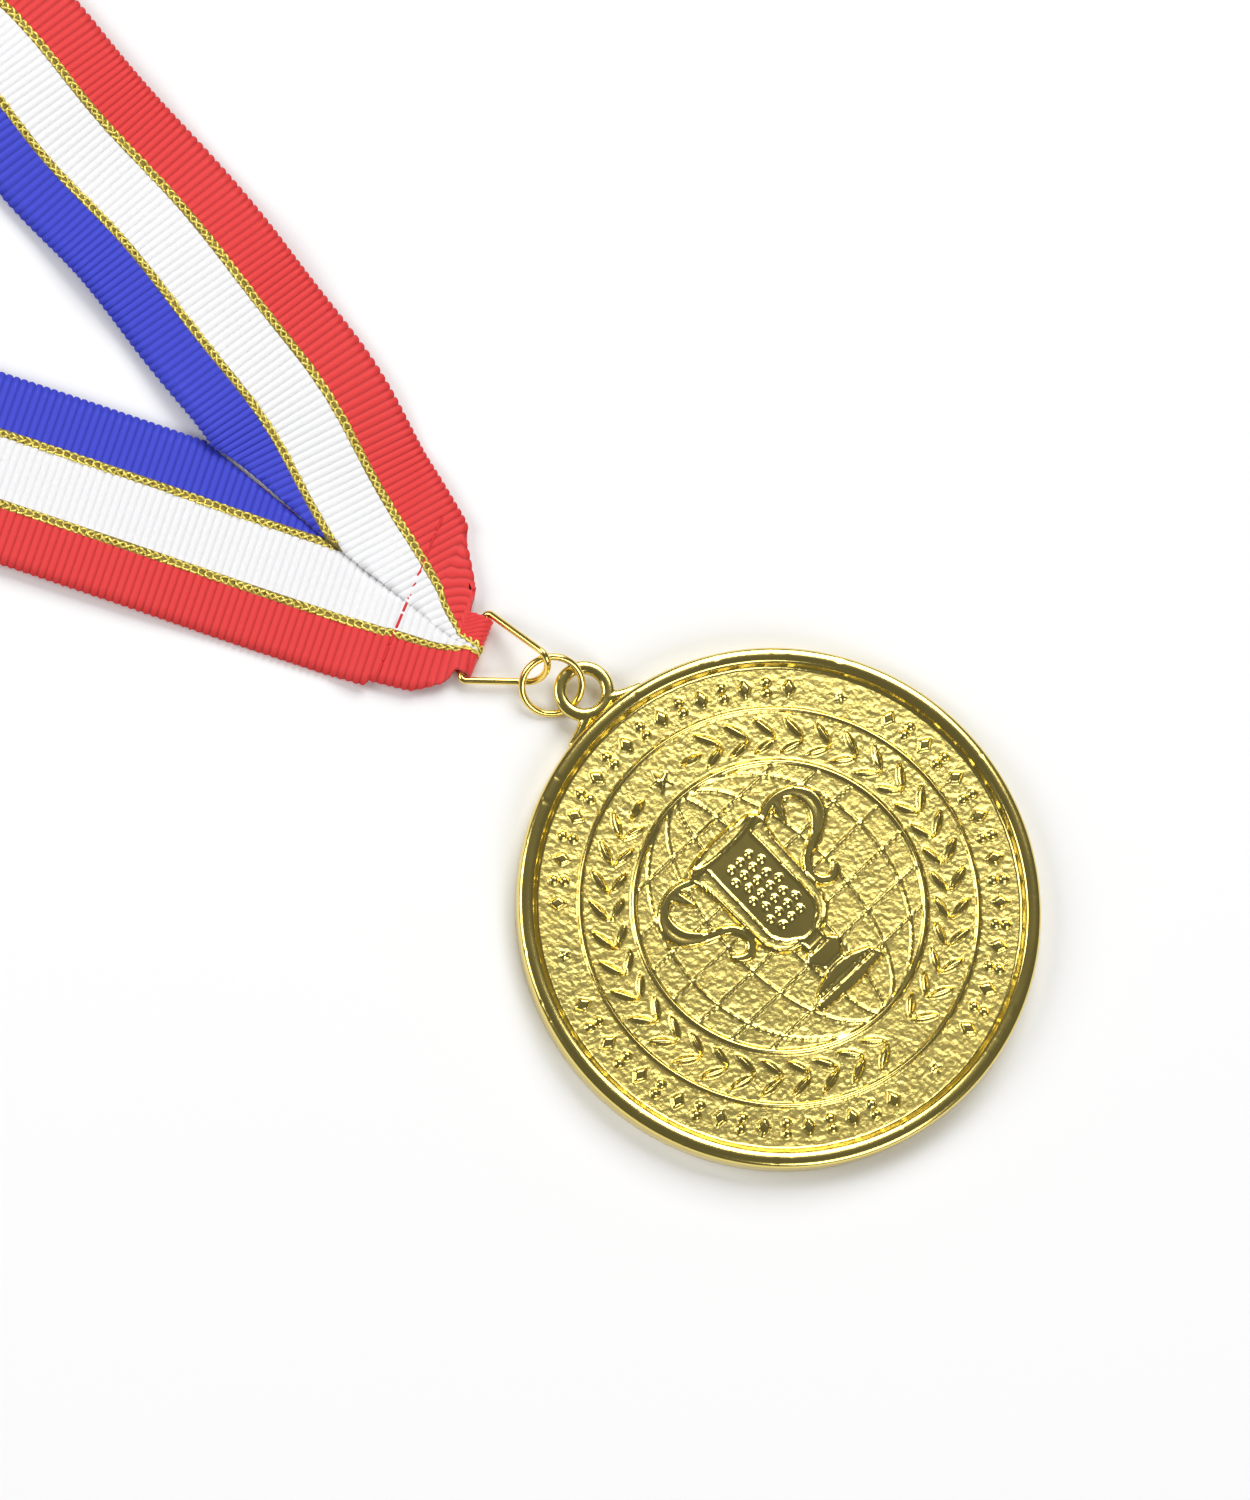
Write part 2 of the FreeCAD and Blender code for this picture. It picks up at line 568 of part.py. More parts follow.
def neck_ribbon():
    centre, into, along = bar_frame()
    front = [centre - along * FAR, centre + along * FAR]
    behind_bar = prism([(p.x, p.y) for p in front + [front[1] + into * FAR, front[0] + into * FAR]], -2, 12)
    strands = strand(1).fuse(strand(-1)).common(trim_plan()).common(behind_bar)
    tip, bore = folded_tip()
    ribbon = strands.multiFuse([tip, bundle(1), bundle(-1), crossing()])
    return ribbon.cut(bore).removeSplitter()


# ------------------------------------------------------------------ stitching

def stitch(start, end):
    """One stitch: a short bar of thread with rounded ends, half sunk in the cloth."""
    run = end - start
    bar = Part.makeCylinder(THREAD / 2, run.Length, start, run)
    return bar.multiFuse([Part.makeSphere(THREAD / 2, start), Part.makeSphere(THREAD / 2, end)])


def pocket_stitching():
    """The row that closes the pocket round the clip's bar."""
    centre, into, along = bar_frame()
    middle = tip_middle() + into * STITCH_ROW
    level = flat(0, 0, 2 * RIBBON_THICKNESS)
    row = []
    for i in range(STITCH_COUNT):
        at = middle + along * ((i - (STITCH_COUNT - 1) / 2) * STITCH_PITCH + STITCH_SHIFT) + level
        row.append(stitch(at - along * (STITCH_LENGTH / 2), at + along * (STITCH_LENGTH / 2)))
    return Part.makeCompound(row)


def mitre_stitching():
    """The seam that holds the two strands together along the mitre, sewn from the back."""
    along = lean(MITRE_LEAN)
    first = v_apex() + along * SEAM_START
    level = flat(0, 0, THREAD / 2)
    crotch = RIBBON_WIDTH / math.sin(math.radians(HALF_ANGLE))
    count = int((crotch - SEAM_END - SEAM_STITCH - SEAM_START) / SEAM_PITCH) + 1
    row = []
    for i in range(count):
        at = first + along * (i * SEAM_PITCH) + level
        row.append(stitch(at, at + along * SEAM_STITCH))
    return Part.makeCompound(row)


# ------------------------------------------------------------------ output

NODES = {
    "medal_casting": medal_casting,
    "jump_ring": jump_ring,
    "ribbon_clip": ribbon_clip,
    "neck_ribbon": neck_ribbon,
    "pocket_stitching": pocket_stitching,
    "mitre_stitching": mitre_stitching,
}


def main():
    os.makedirs("parts", exist_ok=True)
    for name, make in NODES.items():
        make().exportStep(os.path.join("parts", name + ".step"))


if __name__ == "__main__":
    main()
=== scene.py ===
import json
import math

import bmesh
import bpy
import numpy as np
from mathutils import Matrix, Vector


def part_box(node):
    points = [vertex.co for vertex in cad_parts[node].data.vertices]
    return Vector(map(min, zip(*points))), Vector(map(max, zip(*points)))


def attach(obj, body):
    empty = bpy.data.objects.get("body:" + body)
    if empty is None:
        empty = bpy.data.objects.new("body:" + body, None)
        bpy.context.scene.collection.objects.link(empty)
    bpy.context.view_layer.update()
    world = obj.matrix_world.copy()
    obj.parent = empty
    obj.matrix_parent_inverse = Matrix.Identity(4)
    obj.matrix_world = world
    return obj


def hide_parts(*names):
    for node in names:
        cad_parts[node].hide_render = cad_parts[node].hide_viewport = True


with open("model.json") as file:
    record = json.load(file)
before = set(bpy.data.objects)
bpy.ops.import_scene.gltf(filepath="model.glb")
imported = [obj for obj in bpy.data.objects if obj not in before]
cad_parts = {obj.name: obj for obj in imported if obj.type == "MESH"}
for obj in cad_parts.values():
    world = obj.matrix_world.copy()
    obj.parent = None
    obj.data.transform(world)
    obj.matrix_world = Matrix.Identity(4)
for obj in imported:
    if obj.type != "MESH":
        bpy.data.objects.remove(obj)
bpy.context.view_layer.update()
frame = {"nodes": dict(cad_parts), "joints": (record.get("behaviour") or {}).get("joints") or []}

# A die-cast prize medal on a striped grosgrain ribbon. Shapes are worked out in millimetres, in the
# CAD model's frame, and turned into metres where each mesh is made.
MM = 0.001

# ---- camera
LOOK_AT = (-0.5, 21.4, 0.0)
CAMERA_FROM = (-0.218, -0.074, 0.973)
CAMERA_UP = (0.6736, 0.7391, 0.0)
CAMERA_DISTANCE = 600.0
SENSOR = 36.0
VIEW_HEIGHT = 145.4
FLOOR_DROP = 0.03           # the floor lies this far under the table plane, clear of the medal's back
WORLD_STRENGTH = 0.12

# ---- the medal
MEDAL_LOW, MEDAL_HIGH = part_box("medal_casting")
DISC_RADIUS = (MEDAL_HIGH.x - MEDAL_LOW.x) / 2 / MM
RIM_HEIGHT = MEDAL_HIGH.z / MM
BAIL_TOP = MEDAL_HIGH.y / MM
FIELD_HEIGHT = 2.2
RIM_ROLL = 1.35
RIM_BEVEL = 0.7
SIDE_WALL_TOP = 1.5
BACK_EDGE = 0.4
RIM_TO_MARKS = 1.9          # foot of the rim to the middle of the band of ornaments
RIM_TO_RING = 4.05
RING_TO_STEM = 2.8
STEM_TO_GLOBE = 2.4
FIELD_RADIUS = DISC_RADIUS - RIM_ROLL - RIM_BEVEL
MARK_RADIUS = FIELD_RADIUS - RIM_TO_MARKS
INNER_RING_RADIUS = FIELD_RADIUS - RIM_TO_RING
STEM_RADIUS = INNER_RING_RADIUS - RING_TO_STEM
GLOBE_RADIUS = STEM_RADIUS - STEM_TO_GLOBE
RELIEF_TURN = 1.6           # degrees anticlockwise from the bail
RADIAL_STEP = 0.155         # between the rings of the front's mesh
BACK_STEP = 2.6             # and of the back's
RIM_SQUARENESS = 4.6        # how flat the rim's roll is on top: 2 is a quarter circle
RIM_SEGMENTS = 896
RIM_EDGE_FADE = 0.25        # the relief dies out this close to the rim

# ---- relief heights above the field
RIDGE_HEIGHT = 0.32
LINE_HEIGHT = 0.2
CUP_HEIGHT = 0.48
HANDLE_HEIGHT = 0.44
LEAF_HEIGHT = 0.44
GRAIN_HEIGHT = 0.06
MARK_HEIGHT = 0.34

# ---- relief figures
LINE_HALF_WIDTH = 0.17      # the globe's grid lines
PARALLEL_ROWS = 3           # each side of the middle one
PARALLEL_STEP = 3.3
PARALLEL_SHIFT = 0.5
MERIDIAN_SHARES = (0.155, 0.46, 0.80)    # half width of each pair, as a share of the globe's radius
OUTLINE_HALF_WIDTH = 0.28   # the ring round the globe
RING_HALF_WIDTH = 0.26      # the ring inside the ornaments
LEAF_PAIRS = 17
FIRST_LEAF = 24             # degrees from the bail
LEAF_PITCH = 9.4
LEAVES = ((2.8, 0.95, 38, 0.12), (2.6, 0.85, -36, -0.12))   # length, width, lean, foot off the stem
END_LEAF = (2.4, 0.9)
WREATH_HALF_WIDTH = 2.6
MARKS_PER_GROUP = 17
MARK_PITCH = 5.8            # degrees
LOZENGE = (0.76, 1.06)      # half width and half height
BEAD_OFFSET = 0.52
BEAD_RADIUS = 0.42
SMALL_STAR_RADIUS = 0.75
TOP_STAR_RADIUS = 1.35
STUD_PITCH = 1.15           # along a row on the cup's plate
STUD_RADIUS = 0.36
STUD_HEIGHT = 0.2
FOOT_GROOVES = ((-5.25, 1.2), (-7.5, 1.2), (-9.15, 3.6))    # height and half length
GROOVE_DEPTH = 0.14
GROOVE_HALF_WIDTH = 0.26

# ---- the bail
BAIL_HOLE_RADIUS = 1.7
BAIL_BAND = 1.3
BAIL_THICKNESS = 1.2
BAIL_MID_HEIGHT = 1.65
BAIL_Y = BAIL_TOP - BAIL_HOLE_RADIUS - BAIL_BAND
SCROLL_ANGLE = 7.2

# ---- the ribbon
RIBBON_WIDTH = 18.0
RIBBON_THICKNESS = 0.42
LAYER_PITCH = 0.52
HALF = RIBBON_WIDTH / 2
V_APEX_FROM_TIP = (1.76, -17.07)
MITRE_LEAN = 9.35
HALF_ANGLE = 20.85
TURN_START = 44.0
TURN_LENGTH = 20.1
STRAND_END = 142.0
BUNDLE_LENGTH = 38.0
BUNDLE_LAYERS = 7
PACK_START = STRAND_END - BUNDLE_LENGTH
HEM = 10.5
HEM_FADE = 2.5              # beyond the hem, the tip's shape gives way to the strand's
LOWER_LAYER = 0.25          # middle of the cloth that lies on the table
UPPER_LAYER = 0.78          # middle of the cloth that lies on the folded hem
ROLL_RADIUS = 0.61          # middle of the cloth round the clip's bar
BAR_SET_IN = 0.9            # folded edge to the middle of the bar, and the bar's height
UPPER_OUTLINE = (6.48, 0.773)    # the unfolded tip's half width at the folded edge, and how it grows
LOWER_OUTLINE = (7.09, 0.07)
# Half the tip's width at each distance from the folded edge, with a notch for each of the clip's legs.
UPPER_TIP = [(-12, 2.4), (0, 2.88), (2.5, 2.88), (2.9, 5.6), (5.4, 9.8), (7.5, 30)]
LOWER_TIP = [(-12, 2.4), (0, 2.88), (1.7, 2.88), (2.0, 4.4), (4.9, 6.7), (9.0, 7.6), (11.5, 30)]
MITRE_ANGLE = math.radians(HALF_ANGLE)
RIB_PITCH = 0.76
RIB_HEIGHT = 0.2
ROLL_REGION = (-1.8, 3.2)   # the part of the tip that goes round the bar, before it is folded
RIB_LIFT_END = 4.5          # from here to the folded edge the ribs only stand up
SCALLOP = 0.26              # how far the ribs' ends stand out along the edges
ROWS_PER_RIB = 5
COLUMNS = 16
GOLD_LINES = (5.6, 12.3)    # in from the red edge
GOLD_LINE_WIDTH = 0.8
LUREX_STEP = 0.16           # spacing of the lurex threads' points along the ribbon
LUREX_LINK = 1.6            # length of one link of the chain
LUREX_SWING = 0.34          # half the chain's width
LUREX_RADIUS = 0.12
LUREX_SIDES = 5
LUREX_STRAY = 0.06          # how unevenly each thread swings
CROSSING_LIFT = 0.55        # the crossing's cloth above the packs
CROSSING_FOLD = 0.24        # radius of its diagonal folds
CROSSING_COLUMNS = 12

rng = np.random.default_rng(7)
LATTICE = rng.random((256, 256))


def value_noise(x, y, size, shift=0):
    """Smooth noise from 0 to 1 with features about this size."""
    px, py = np.asarray(x) / size + 17.3 * shift, np.asarray(y) / size + 31.7 * shift
    ix, iy = np.floor(px).astype(int), np.floor(py).astype(int)
    fx, fy = px - ix, py - iy
    fx, fy = fx * fx * (3 - 2 * fx), fy * fy * (3 - 2 * fy)
    a, b = LATTICE[ix % 256, iy % 256], LATTICE[(ix + 1) % 256, iy % 256]
    c, d = LATTICE[ix % 256, (iy + 1) % 256], LATTICE[(ix + 1) % 256, (iy + 1) % 256]
    return (a * (1 - fx) + b * fx) * (1 - fy) + (c * (1 - fx) + d * fx) * fy


def smooth(t):
    """0 to 1 with no slope at either end."""
    t = np.clip(t, 0, 1)
    return t * t * (3 - 2 * t)


def inside(distance, soft):
    """1 inside an outline and 0 outside, with a flank this wide."""
    return smooth(0.5 - distance / soft)


def ridge(distance, half_width):
    """Rounded crest along a line, from 0 at its edges to 1."""
    return np.sqrt(np.clip(1 - (distance / half_width) ** 2, 0, 1))


def outline_distance(x, y, points):
    """Signed distance to a closed outline, negative inside."""
    best = np.full(x.shape, 1e9)
    within = np.zeros(x.shape, bool)
    for (ax, ay), (bx, by) in zip(points, points[1:] + points[:1]):
        ex, ey = bx - ax, by - ay
        t = np.clip(((x - ax) * ex + (y - ay) * ey) / (ex * ex + ey * ey), 0, 1)
        best = np.minimum(best, np.hypot(x - ax - t * ex, y - ay - t * ey))
        if ay != by:
            crosses = (ay > y) != (by > y)
            within ^= crosses & (x < ex * (y - ay) / (by - ay) + ax)
    return np.where(within, -best, best)


def band_distance(x, y, route):
    """Distance to the edge of a band whose width changes along its route of (x, y, width)."""
    best = np.full(x.shape, 1e9)
    for (ax, ay, aw), (bx, by, bw) in zip(route, route[1:]):
        ex, ey = bx - ax, by - ay
        t = np.clip(((x - ax) * ex + (y - ay) * ey) / (ex * ex + ey * ey), 0, 1)
        edge = np.hypot(x - ax - t * ex, y - ay - t * ey) - (aw + t * (bw - aw)) / 2
        best = np.minimum(best, edge)
    return best


def rounded(route, turns=4):
    """A smooth route through the given points."""
    points = np.array(route, float)
    padded = np.vstack([points[0], points, points[-1]])
    out = []
    for a, b, c, d in zip(padded, padded[1:], padded[2:], padded[3:]):
        for i in range(turns):
            t = i / turns
            out.append(0.5 * (2 * b + (c - a) * t + (2 * a - 5 * b + 4 * c - d) * t * t
                              + (3 * b - a - 3 * c + d) * t ** 3))
    return [tuple(p) for p in out] + [tuple(points[-1])]


# ------------------------------------------------------------------ relief

BOWL = [(0, 9.0), (2.6, 8.85), (4.0, 8.5), (4.9, 7.5), (4.5, 6.5), (4.25, 5), (4.15, 0), (3.95, -2),
        (3.4, -3.1), (2.4, -3.9), (1.3, -4.3), (1.3, -5.3), (0, -5.3)]
PLATE = [(0, 7.4), (2.85, 7.4), (2.85, -1.6), (2.2, -2.7), (0.5, -3.9), (0, -3.9)]
KNOP = [(0, -5.1), (1.35, -5.1), (2.15, -5.9), (1.2, -7.3), (1.3, -8.0), (0, -8.0)]
UPPER_BASE = [(0, -7.7), (1.8, -7.9), (3.5, -8.6), (3.6, -9.1), (0, -9.3)]
LOWER_BASE = [(0, -9.0), (3.7, -9.0), (4.2, -9.6), (4.1, -10.2), (0, -10.5)]
STUD_ROWS = ((5.7, 3), (4.5, 4), (3.3, 3), (2.1, 4), (0.9, 3), (-0.3, 4), (-1.5, 3))  # height and count
HANDLE = [(4.4, 7.3, 0.9), (6.0, 7.9, 0.85), (7.4, 7.9, 0.9), (8.8, 7.2, 1.1), (9.5, 5.7, 1.6),
          (9.1, 4.1, 1.6), (7.6, 2.8, 1.1), (6.0, 2.1, 0.9), (4.9, 1.3, 0.9), (4.4, 0.0, 0.9),
          (4.8, -1.0, 0.9), (5.7, -1.4, 0.9), (6.6, -0.9, 0.7), (6.9, -0.3, 0.3)]
SPUR = [(6.9, 7.6, 1.2), (6.5, 6.7, 0.8), (6.0, 5.7, 0.3)]


def both_halves(half):
    """A closed outline from its right half."""
    return half + [(-x, y) for x, y in reversed(half) if x > 0]


def cup(x, y, height, polish, grain):
    """The trophy: bowl with its plate of studs, mouth, two handles and a stepped foot."""
    bowl = outline_distance(x, y, both_halves(BOWL))
    plate = outline_distance(x, y, both_halves(PLATE))
    body = CUP_HEIGHT * inside(bowl, 0.18)
    groove = inside(bowl + 0.35, 0.15) * inside(-plate + 0.2, 0.15)
    groove = groove * inside(y - 7.2, 0.3) * inside(-3.7 - y, 0.2)
    body -= 0.15 * groove
    body += 0.1 * ridge(plate - 0.1, 0.17) * inside(y - 7.3, 0.2) * (bowl < 0)
    body += 0.07 * ridge(bowl + 0.28, 0.14) * inside(y - 7.3, 0.2)
    mouth = (np.hypot(x / 4.15, (y - 8.25) / 0.68) - 1) * 0.68
    mouth_floor = inside(mouth + 0.2, 0.15)
    body += 0.1 * ridge(mouth, 0.13) - 0.12 * mouth_floor
    for row_y, count in STUD_ROWS:
        for column in range(count):
            stud = np.hypot(x - (column - (count - 1) / 2) * STUD_PITCH, y - row_y)
            crown = (CUP_HEIGHT + STUD_HEIGHT * ridge(stud, STUD_RADIUS)) * (stud < STUD_RADIUS)
            body = np.maximum(body, crown)
    handles = band_distance(np.abs(x), y, rounded(HANDLE))
    spur = band_distance(np.abs(x), y, rounded(SPUR))
    arms = np.minimum(handles, spur)
    arm_height = HANDLE_HEIGHT * inside(arms, 0.16) * (0.86 + 0.14 * ridge(np.minimum(arms, 0), 0.8))
    foot = np.zeros(x.shape)
    for part, level in ((KNOP, CUP_HEIGHT), (UPPER_BASE, CUP_HEIGHT + 0.03), (LOWER_BASE, CUP_HEIGHT - 0.04)):
        foot = np.maximum(foot, level * inside(outline_distance(x, y, both_halves(part)), 0.16))
    for line_y, reach in FOOT_GROOVES:
        line = ridge(y - line_y, GROOVE_HALF_WIDTH)
        foot -= GROOVE_DEPTH * line * inside(np.abs(x) - reach, 0.4) * (foot > 0.3)
    shape = np.maximum(np.maximum(body, arm_height), foot)
    shine = smooth(shape / 0.2) * (1 - 0.9 * np.maximum(groove, mouth_floor))
    taken = shape > height
    height[:] = np.where(taken, shape, height)
    polish[:] = np.where(taken, shine, polish)
    grain[:] = np.where(shape > 0.1, np.maximum(groove, mouth_floor) * 0.7, grain)


def globe(x, y, height, polish):
    """Outline ring with parallels and meridians, and the ring inside the ornaments."""
    radius = np.hypot(x, y)
    lines = np.zeros(x.shape)
    for row in range(-PARALLEL_ROWS, PARALLEL_ROWS + 1):
        lines = np.maximum(lines, ridge(y - PARALLEL_SHIFT - row * PARALLEL_STEP, LINE_HALF_WIDTH))
    for share in MERIDIAN_SHARES:
        half_x = GLOBE_RADIUS * share
        value = np.hypot(x / half_x, y / GLOBE_RADIUS)
        slope = np.hypot(x / half_x ** 2, y / GLOBE_RADIUS ** 2) / np.maximum(value, 1e-6)
        lines = np.maximum(lines, ridge((value - 1) / np.maximum(slope, 1e-6), LINE_HALF_WIDTH))
    lines *= radius < GLOBE_RADIUS
    raise_to(height, polish, LINE_HEIGHT * lines, 0.75)
    raise_to(height, polish, RIDGE_HEIGHT * ridge(radius - GLOBE_RADIUS, OUTLINE_HALF_WIDTH), 1.0)
    raise_to(height, polish, RIDGE_HEIGHT * ridge(radius - INNER_RING_RADIUS, RING_HALF_WIDTH), 1.0)


def raise_to(height, polish, shape, shine):
    """Lift the field to a figure's shape where that stands higher, and polish it there."""
    taken = shape > height + 1e-4
    height[taken] = shape[taken]
    polish[:] = np.where(taken, np.maximum(polish, shine * smooth(shape / 0.12)), polish)


def leaf(along, across, length, width):
    """A pointed leaf with a sharp middle rib, from its foot to its tip."""
    t = along / length
    half = width / 2 * np.sin(np.pi * np.clip(t, 0, 1)) ** 0.75 + 1e-6
    return np.where((t > 0) & (t < 1), np.clip(1 - np.abs(across) / half, 0, 1) ** 0.8, 0)


def wreath(x, y, height, polish):
    """Two branches of paired leaves that open towards the bail, each ending in a single leaf."""
    radius = np.hypot(x, y)
    near = (radius > STEM_RADIUS - WREATH_HALF_WIDTH) & (radius < STEM_RADIUS + WREATH_HALF_WIDTH)
    px, py = x[near], y[near]
    best = np.zeros(px.shape)
    for side in (-1, 1):
        for i in range(-1, LEAF_PAIRS):
            at = math.radians(side * (FIRST_LEAF + LEAF_PITCH * i))
            right, out = (math.cos(at), -math.sin(at)), (math.sin(at), math.cos(at))
            local_x = (px * right[0] + py * right[1]) * side
            local_y = px * out[0] + py * out[1] - STEM_RADIUS
            if i < 0:
                best = np.maximum(best, leaf(-local_x + 0.6, local_y, *END_LEAF))
                continue
            for length, width, tilt, foot in LEAVES:
                a = math.radians(tilt)
                along = -local_x * math.cos(a) + (local_y - foot) * math.sin(a)
                across = local_x * math.sin(a) + (local_y - foot) * math.cos(a)
                best = np.maximum(best, leaf(along, across, length, width))
    shape = np.zeros(x.shape)
    shape[near] = LEAF_HEIGHT * best
    raise_to(height, polish, shape, 1.0)


def star_shape(x, y, radius):
    """A five-pointed star with a ridge down each arm."""
    angle = np.abs((np.arctan2(x, y) / (2 * math.pi / 5) + 0.5) % 1 - 0.5) * (2 * math.pi / 5)
    reach = np.hypot(x, y)
    tip, painted_valley_shade = radius, radius * 0.42
    edge = tip * painted_valley_shade * math.sin(math.pi / 5) / (
        painted_valley_shade * np.sin(math.pi / 5 - angle) + tip * np.sin(angle) + 1e-9)
    return np.clip(1 - reach / edge, 0, 1) ** 0.6


def ornaments(x, y, height, polish):
    """Three arcs of lozenges and stacked beads, a small star between each two, and one at the top."""
    radius = np.hypot(x, y)
    near = np.abs(radius - MARK_RADIUS) < 1.2
    px, py = x[near], y[near]
    best = np.zeros(px.shape)
    for group in range(3):
        for i in range(MARKS_PER_GROUP):
            at = math.radians(group * 120 + (i - MARKS_PER_GROUP // 2) * MARK_PITCH)
            across = px * math.cos(at) - py * math.sin(at)
            up = px * math.sin(at) + py * math.cos(at) - MARK_RADIUS
            if i % 2 == 0:
                lozenge = 1 - np.abs(across) / LOZENGE[0] - np.abs(up) / LOZENGE[1]
                best = np.maximum(best, smooth(lozenge * 3.2))
            else:
                for offset in (-BEAD_OFFSET, BEAD_OFFSET):
                    bead = np.hypot(across, up - offset) - BEAD_RADIUS
                    best = np.maximum(best, inside(bead, 0.2))
        at = math.radians(60 + group * 120)
        across = px * math.cos(at) - py * math.sin(at)
        up = px * math.sin(at) + py * math.cos(at) - MARK_RADIUS
        best = np.maximum(best, star_shape(across, up, SMALL_STAR_RADIUS))
    shape = np.zeros(x.shape)
    shape[near] = MARK_HEIGHT * best
    raise_to(height, polish, shape, 1.0)
    raise_to(height, polish, LEAF_HEIGHT * star_shape(x, y - STEM_RADIUS, TOP_STAR_RADIUS), 1.0)


def relief(x, y):
    """Height of the figures above the field and how polished each spot is, over the whole front."""
    a = math.radians(RELIEF_TURN)
    fx, fy = x * math.cos(a) + y * math.sin(a), -x * math.sin(a) + y * math.cos(a)
    height, polish, grain = np.zeros(x.shape), np.zeros(x.shape), np.ones(x.shape)
    globe(fx, fy, height, polish)
    wreath(fx, fy, height, polish)
    ornaments(fx, fy, height, polish)
    near = (np.abs(fx) < 11.5) & (np.abs(fy) < 11.5)
    ch, cp, cg = height[near], polish[near], grain[near]
    cup(fx[near], fy[near], ch, cp, cg)
    height[near], polish[near], grain[near] = ch, cp, cg
    rough = 0.7 * value_noise(x, y, 0.23, 1) + 0.3 * value_noise(x, y, 0.47, 2) - 0.5
    height += 2 * GRAIN_HEIGHT * rough * grain * (1 - polish)
    return height, polish


# ------------------------------------------------------------------ medal mesh

def segments_at(radius):
    """Points in a ring of this radius: halved, and halved again, towards the middle."""
    count = RIM_SEGMENTS
    while count > 16 and radius < DISC_RADIUS * 0.64 * count / RIM_SEGMENTS:
        count //= 2
    return count


def medal_rings():
    """(radius, height, count, on the field) of every ring, from the front's middle round to the back's."""
    steps = int(FIELD_RADIUS / RADIAL_STEP)
    rings = [(FIELD_RADIUS * i / steps, FIELD_HEIGHT, segments_at(FIELD_RADIUS * i / steps), True)
             for i in range(1, steps + 1)]
    crown = DISC_RADIUS - RIM_ROLL
    for i in range(1, 4):
        level = FIELD_HEIGHT + (RIM_HEIGHT - FIELD_HEIGHT) * smooth(i / 4)
        rings.append((FIELD_RADIUS + RIM_BEVEL * i / 4, level, RIM_SEGMENTS, False))
    for i in range(11):
        a = math.pi / 2 * i / 10
        out, up = math.sin(a) ** (2 / RIM_SQUARENESS), math.cos(a) ** (2 / RIM_SQUARENESS)
        rings.append((crown + RIM_ROLL * out, SIDE_WALL_TOP + (RIM_HEIGHT - SIDE_WALL_TOP) * up,
                      RIM_SEGMENTS, False))
    rings.append((DISC_RADIUS, (SIDE_WALL_TOP + BACK_EDGE) / 2, RIM_SEGMENTS, False))
    for i in range(4):
        a = math.pi / 2 * i / 3
        rings.append((DISC_RADIUS - BACK_EDGE * (1 - math.cos(a)), BACK_EDGE * (1 - math.sin(a)),
                      RIM_SEGMENTS, False))
    radius, count = DISC_RADIUS - BACK_EDGE, RIM_SEGMENTS
    while count > 16:
        radius -= BACK_STEP
        count //= 2
        rings.append((radius, 0.0, count, False))
    return rings


def casting_flaws(x, y, radius):
    """Small dents and nicks that the polished rim shows, pressed in along its surface."""
    angle = np.arctan2(x, y) * DISC_RADIUS
    slow = value_noise(angle, radius, 5.5, 3) - 0.5
    fine = value_noise(angle, radius * 3, 0.9, 4)
    nick = np.clip(fine - 0.86, 0, 1) * 0.5
    return 0.04 * slow - nick


def medal_mesh():
    """The disc as one closed mesh, ring by ring, with the relief pressed up in its field."""
    rings = medal_rings()
    verts, starts = [], []
    for radius, z, count, on_field in rings:
        a = 2 * np.pi * np.arange(count) / count
        starts.append(sum(len(v) for v in verts))
        verts.append(np.column_stack([radius * np.sin(a), radius * np.cos(a), np.full(count, z)]))
    points = np.vstack(verts)
    radius = np.hypot(points[:, 0], points[:, 1])
    on_field = np.concatenate([np.full(c, f) for _, _, c, f in rings])
    height, _ = relief(points[on_field, 0], points[on_field, 1])
    edge = smooth((FIELD_RADIUS - radius[on_field]) / RIM_EDGE_FADE)
    points[on_field, 2] += height * edge
    rim = ~on_field & (points[:, 2] > SIDE_WALL_TOP)
    flaw = np.minimum(casting_flaws(points[rim, 0], points[rim, 1], radius[rim]), 0)
    points[rim, 2] += flaw
    faces = []
    for (_, _, n, _), (_, _, m, _), p, q in zip(rings, rings[1:], starts, starts[1:]):
        if n == m:
            faces += [(p + k, p + (k + 1) % n, q + (k + 1) % n, q + k) for k in range(n)]
        elif m == 2 * n:
            for k in range(n):
                a, b = p + k, p + (k + 1) % n
                c, d, e = q + 2 * k, q + 2 * k + 1, q + (2 * k + 2) % m
                faces += [(a, d, c), (a, b, d), (b, e, d)]
        else:
            for k in range(m):
                a, b, c = p + 2 * k, p + 2 * k + 1, p + (2 * k + 2) % n
                d, e = q + k, q + (k + 1) % m
                faces += [(a, b, d), (b, e, d), (b, c, e)]
    top, bottom = len(points), len(points) + 1
    middle_height, _ = relief(np.zeros(1), np.zeros(1))
    points = np.vstack([points, [[0, 0, FIELD_HEIGHT + middle_height[0]], [0, 0, 0]]])
    first, last, last_start = rings[0][2], rings[-1][2], starts[-1]
    faces += [(top, (k + 1) % first, k) for k in range(first)]
    faces += [(bottom, last_start + k, last_start + (k + 1) % last) for k in range(last)]
    mesh = bpy.data.meshes.new("medal_disc")
    mesh.from_pydata((points * MM).tolist(), [], faces)
    return mesh


def link(name, mesh):
    piece = bpy.data.objects.new(name, mesh)
    bpy.context.scene.collection.objects.link(piece)
    return piece


def face_outwards(mesh):
    bm = bmesh.new()
    bm.from_mesh(mesh)
    bmesh.ops.recalc_face_normals(bm, faces=bm.faces)
    bm.to_mesh(mesh)
    bm.free()


def applied(piece):
    """The piece with its modifiers made part of its mesh."""
    graph = bpy.context.evaluated_depsgraph_get()
    mesh = bpy.data.meshes.new_from_object(piece.evaluated_get(graph))
    piece.modifiers.clear()
    piece.data = mesh
    return piece


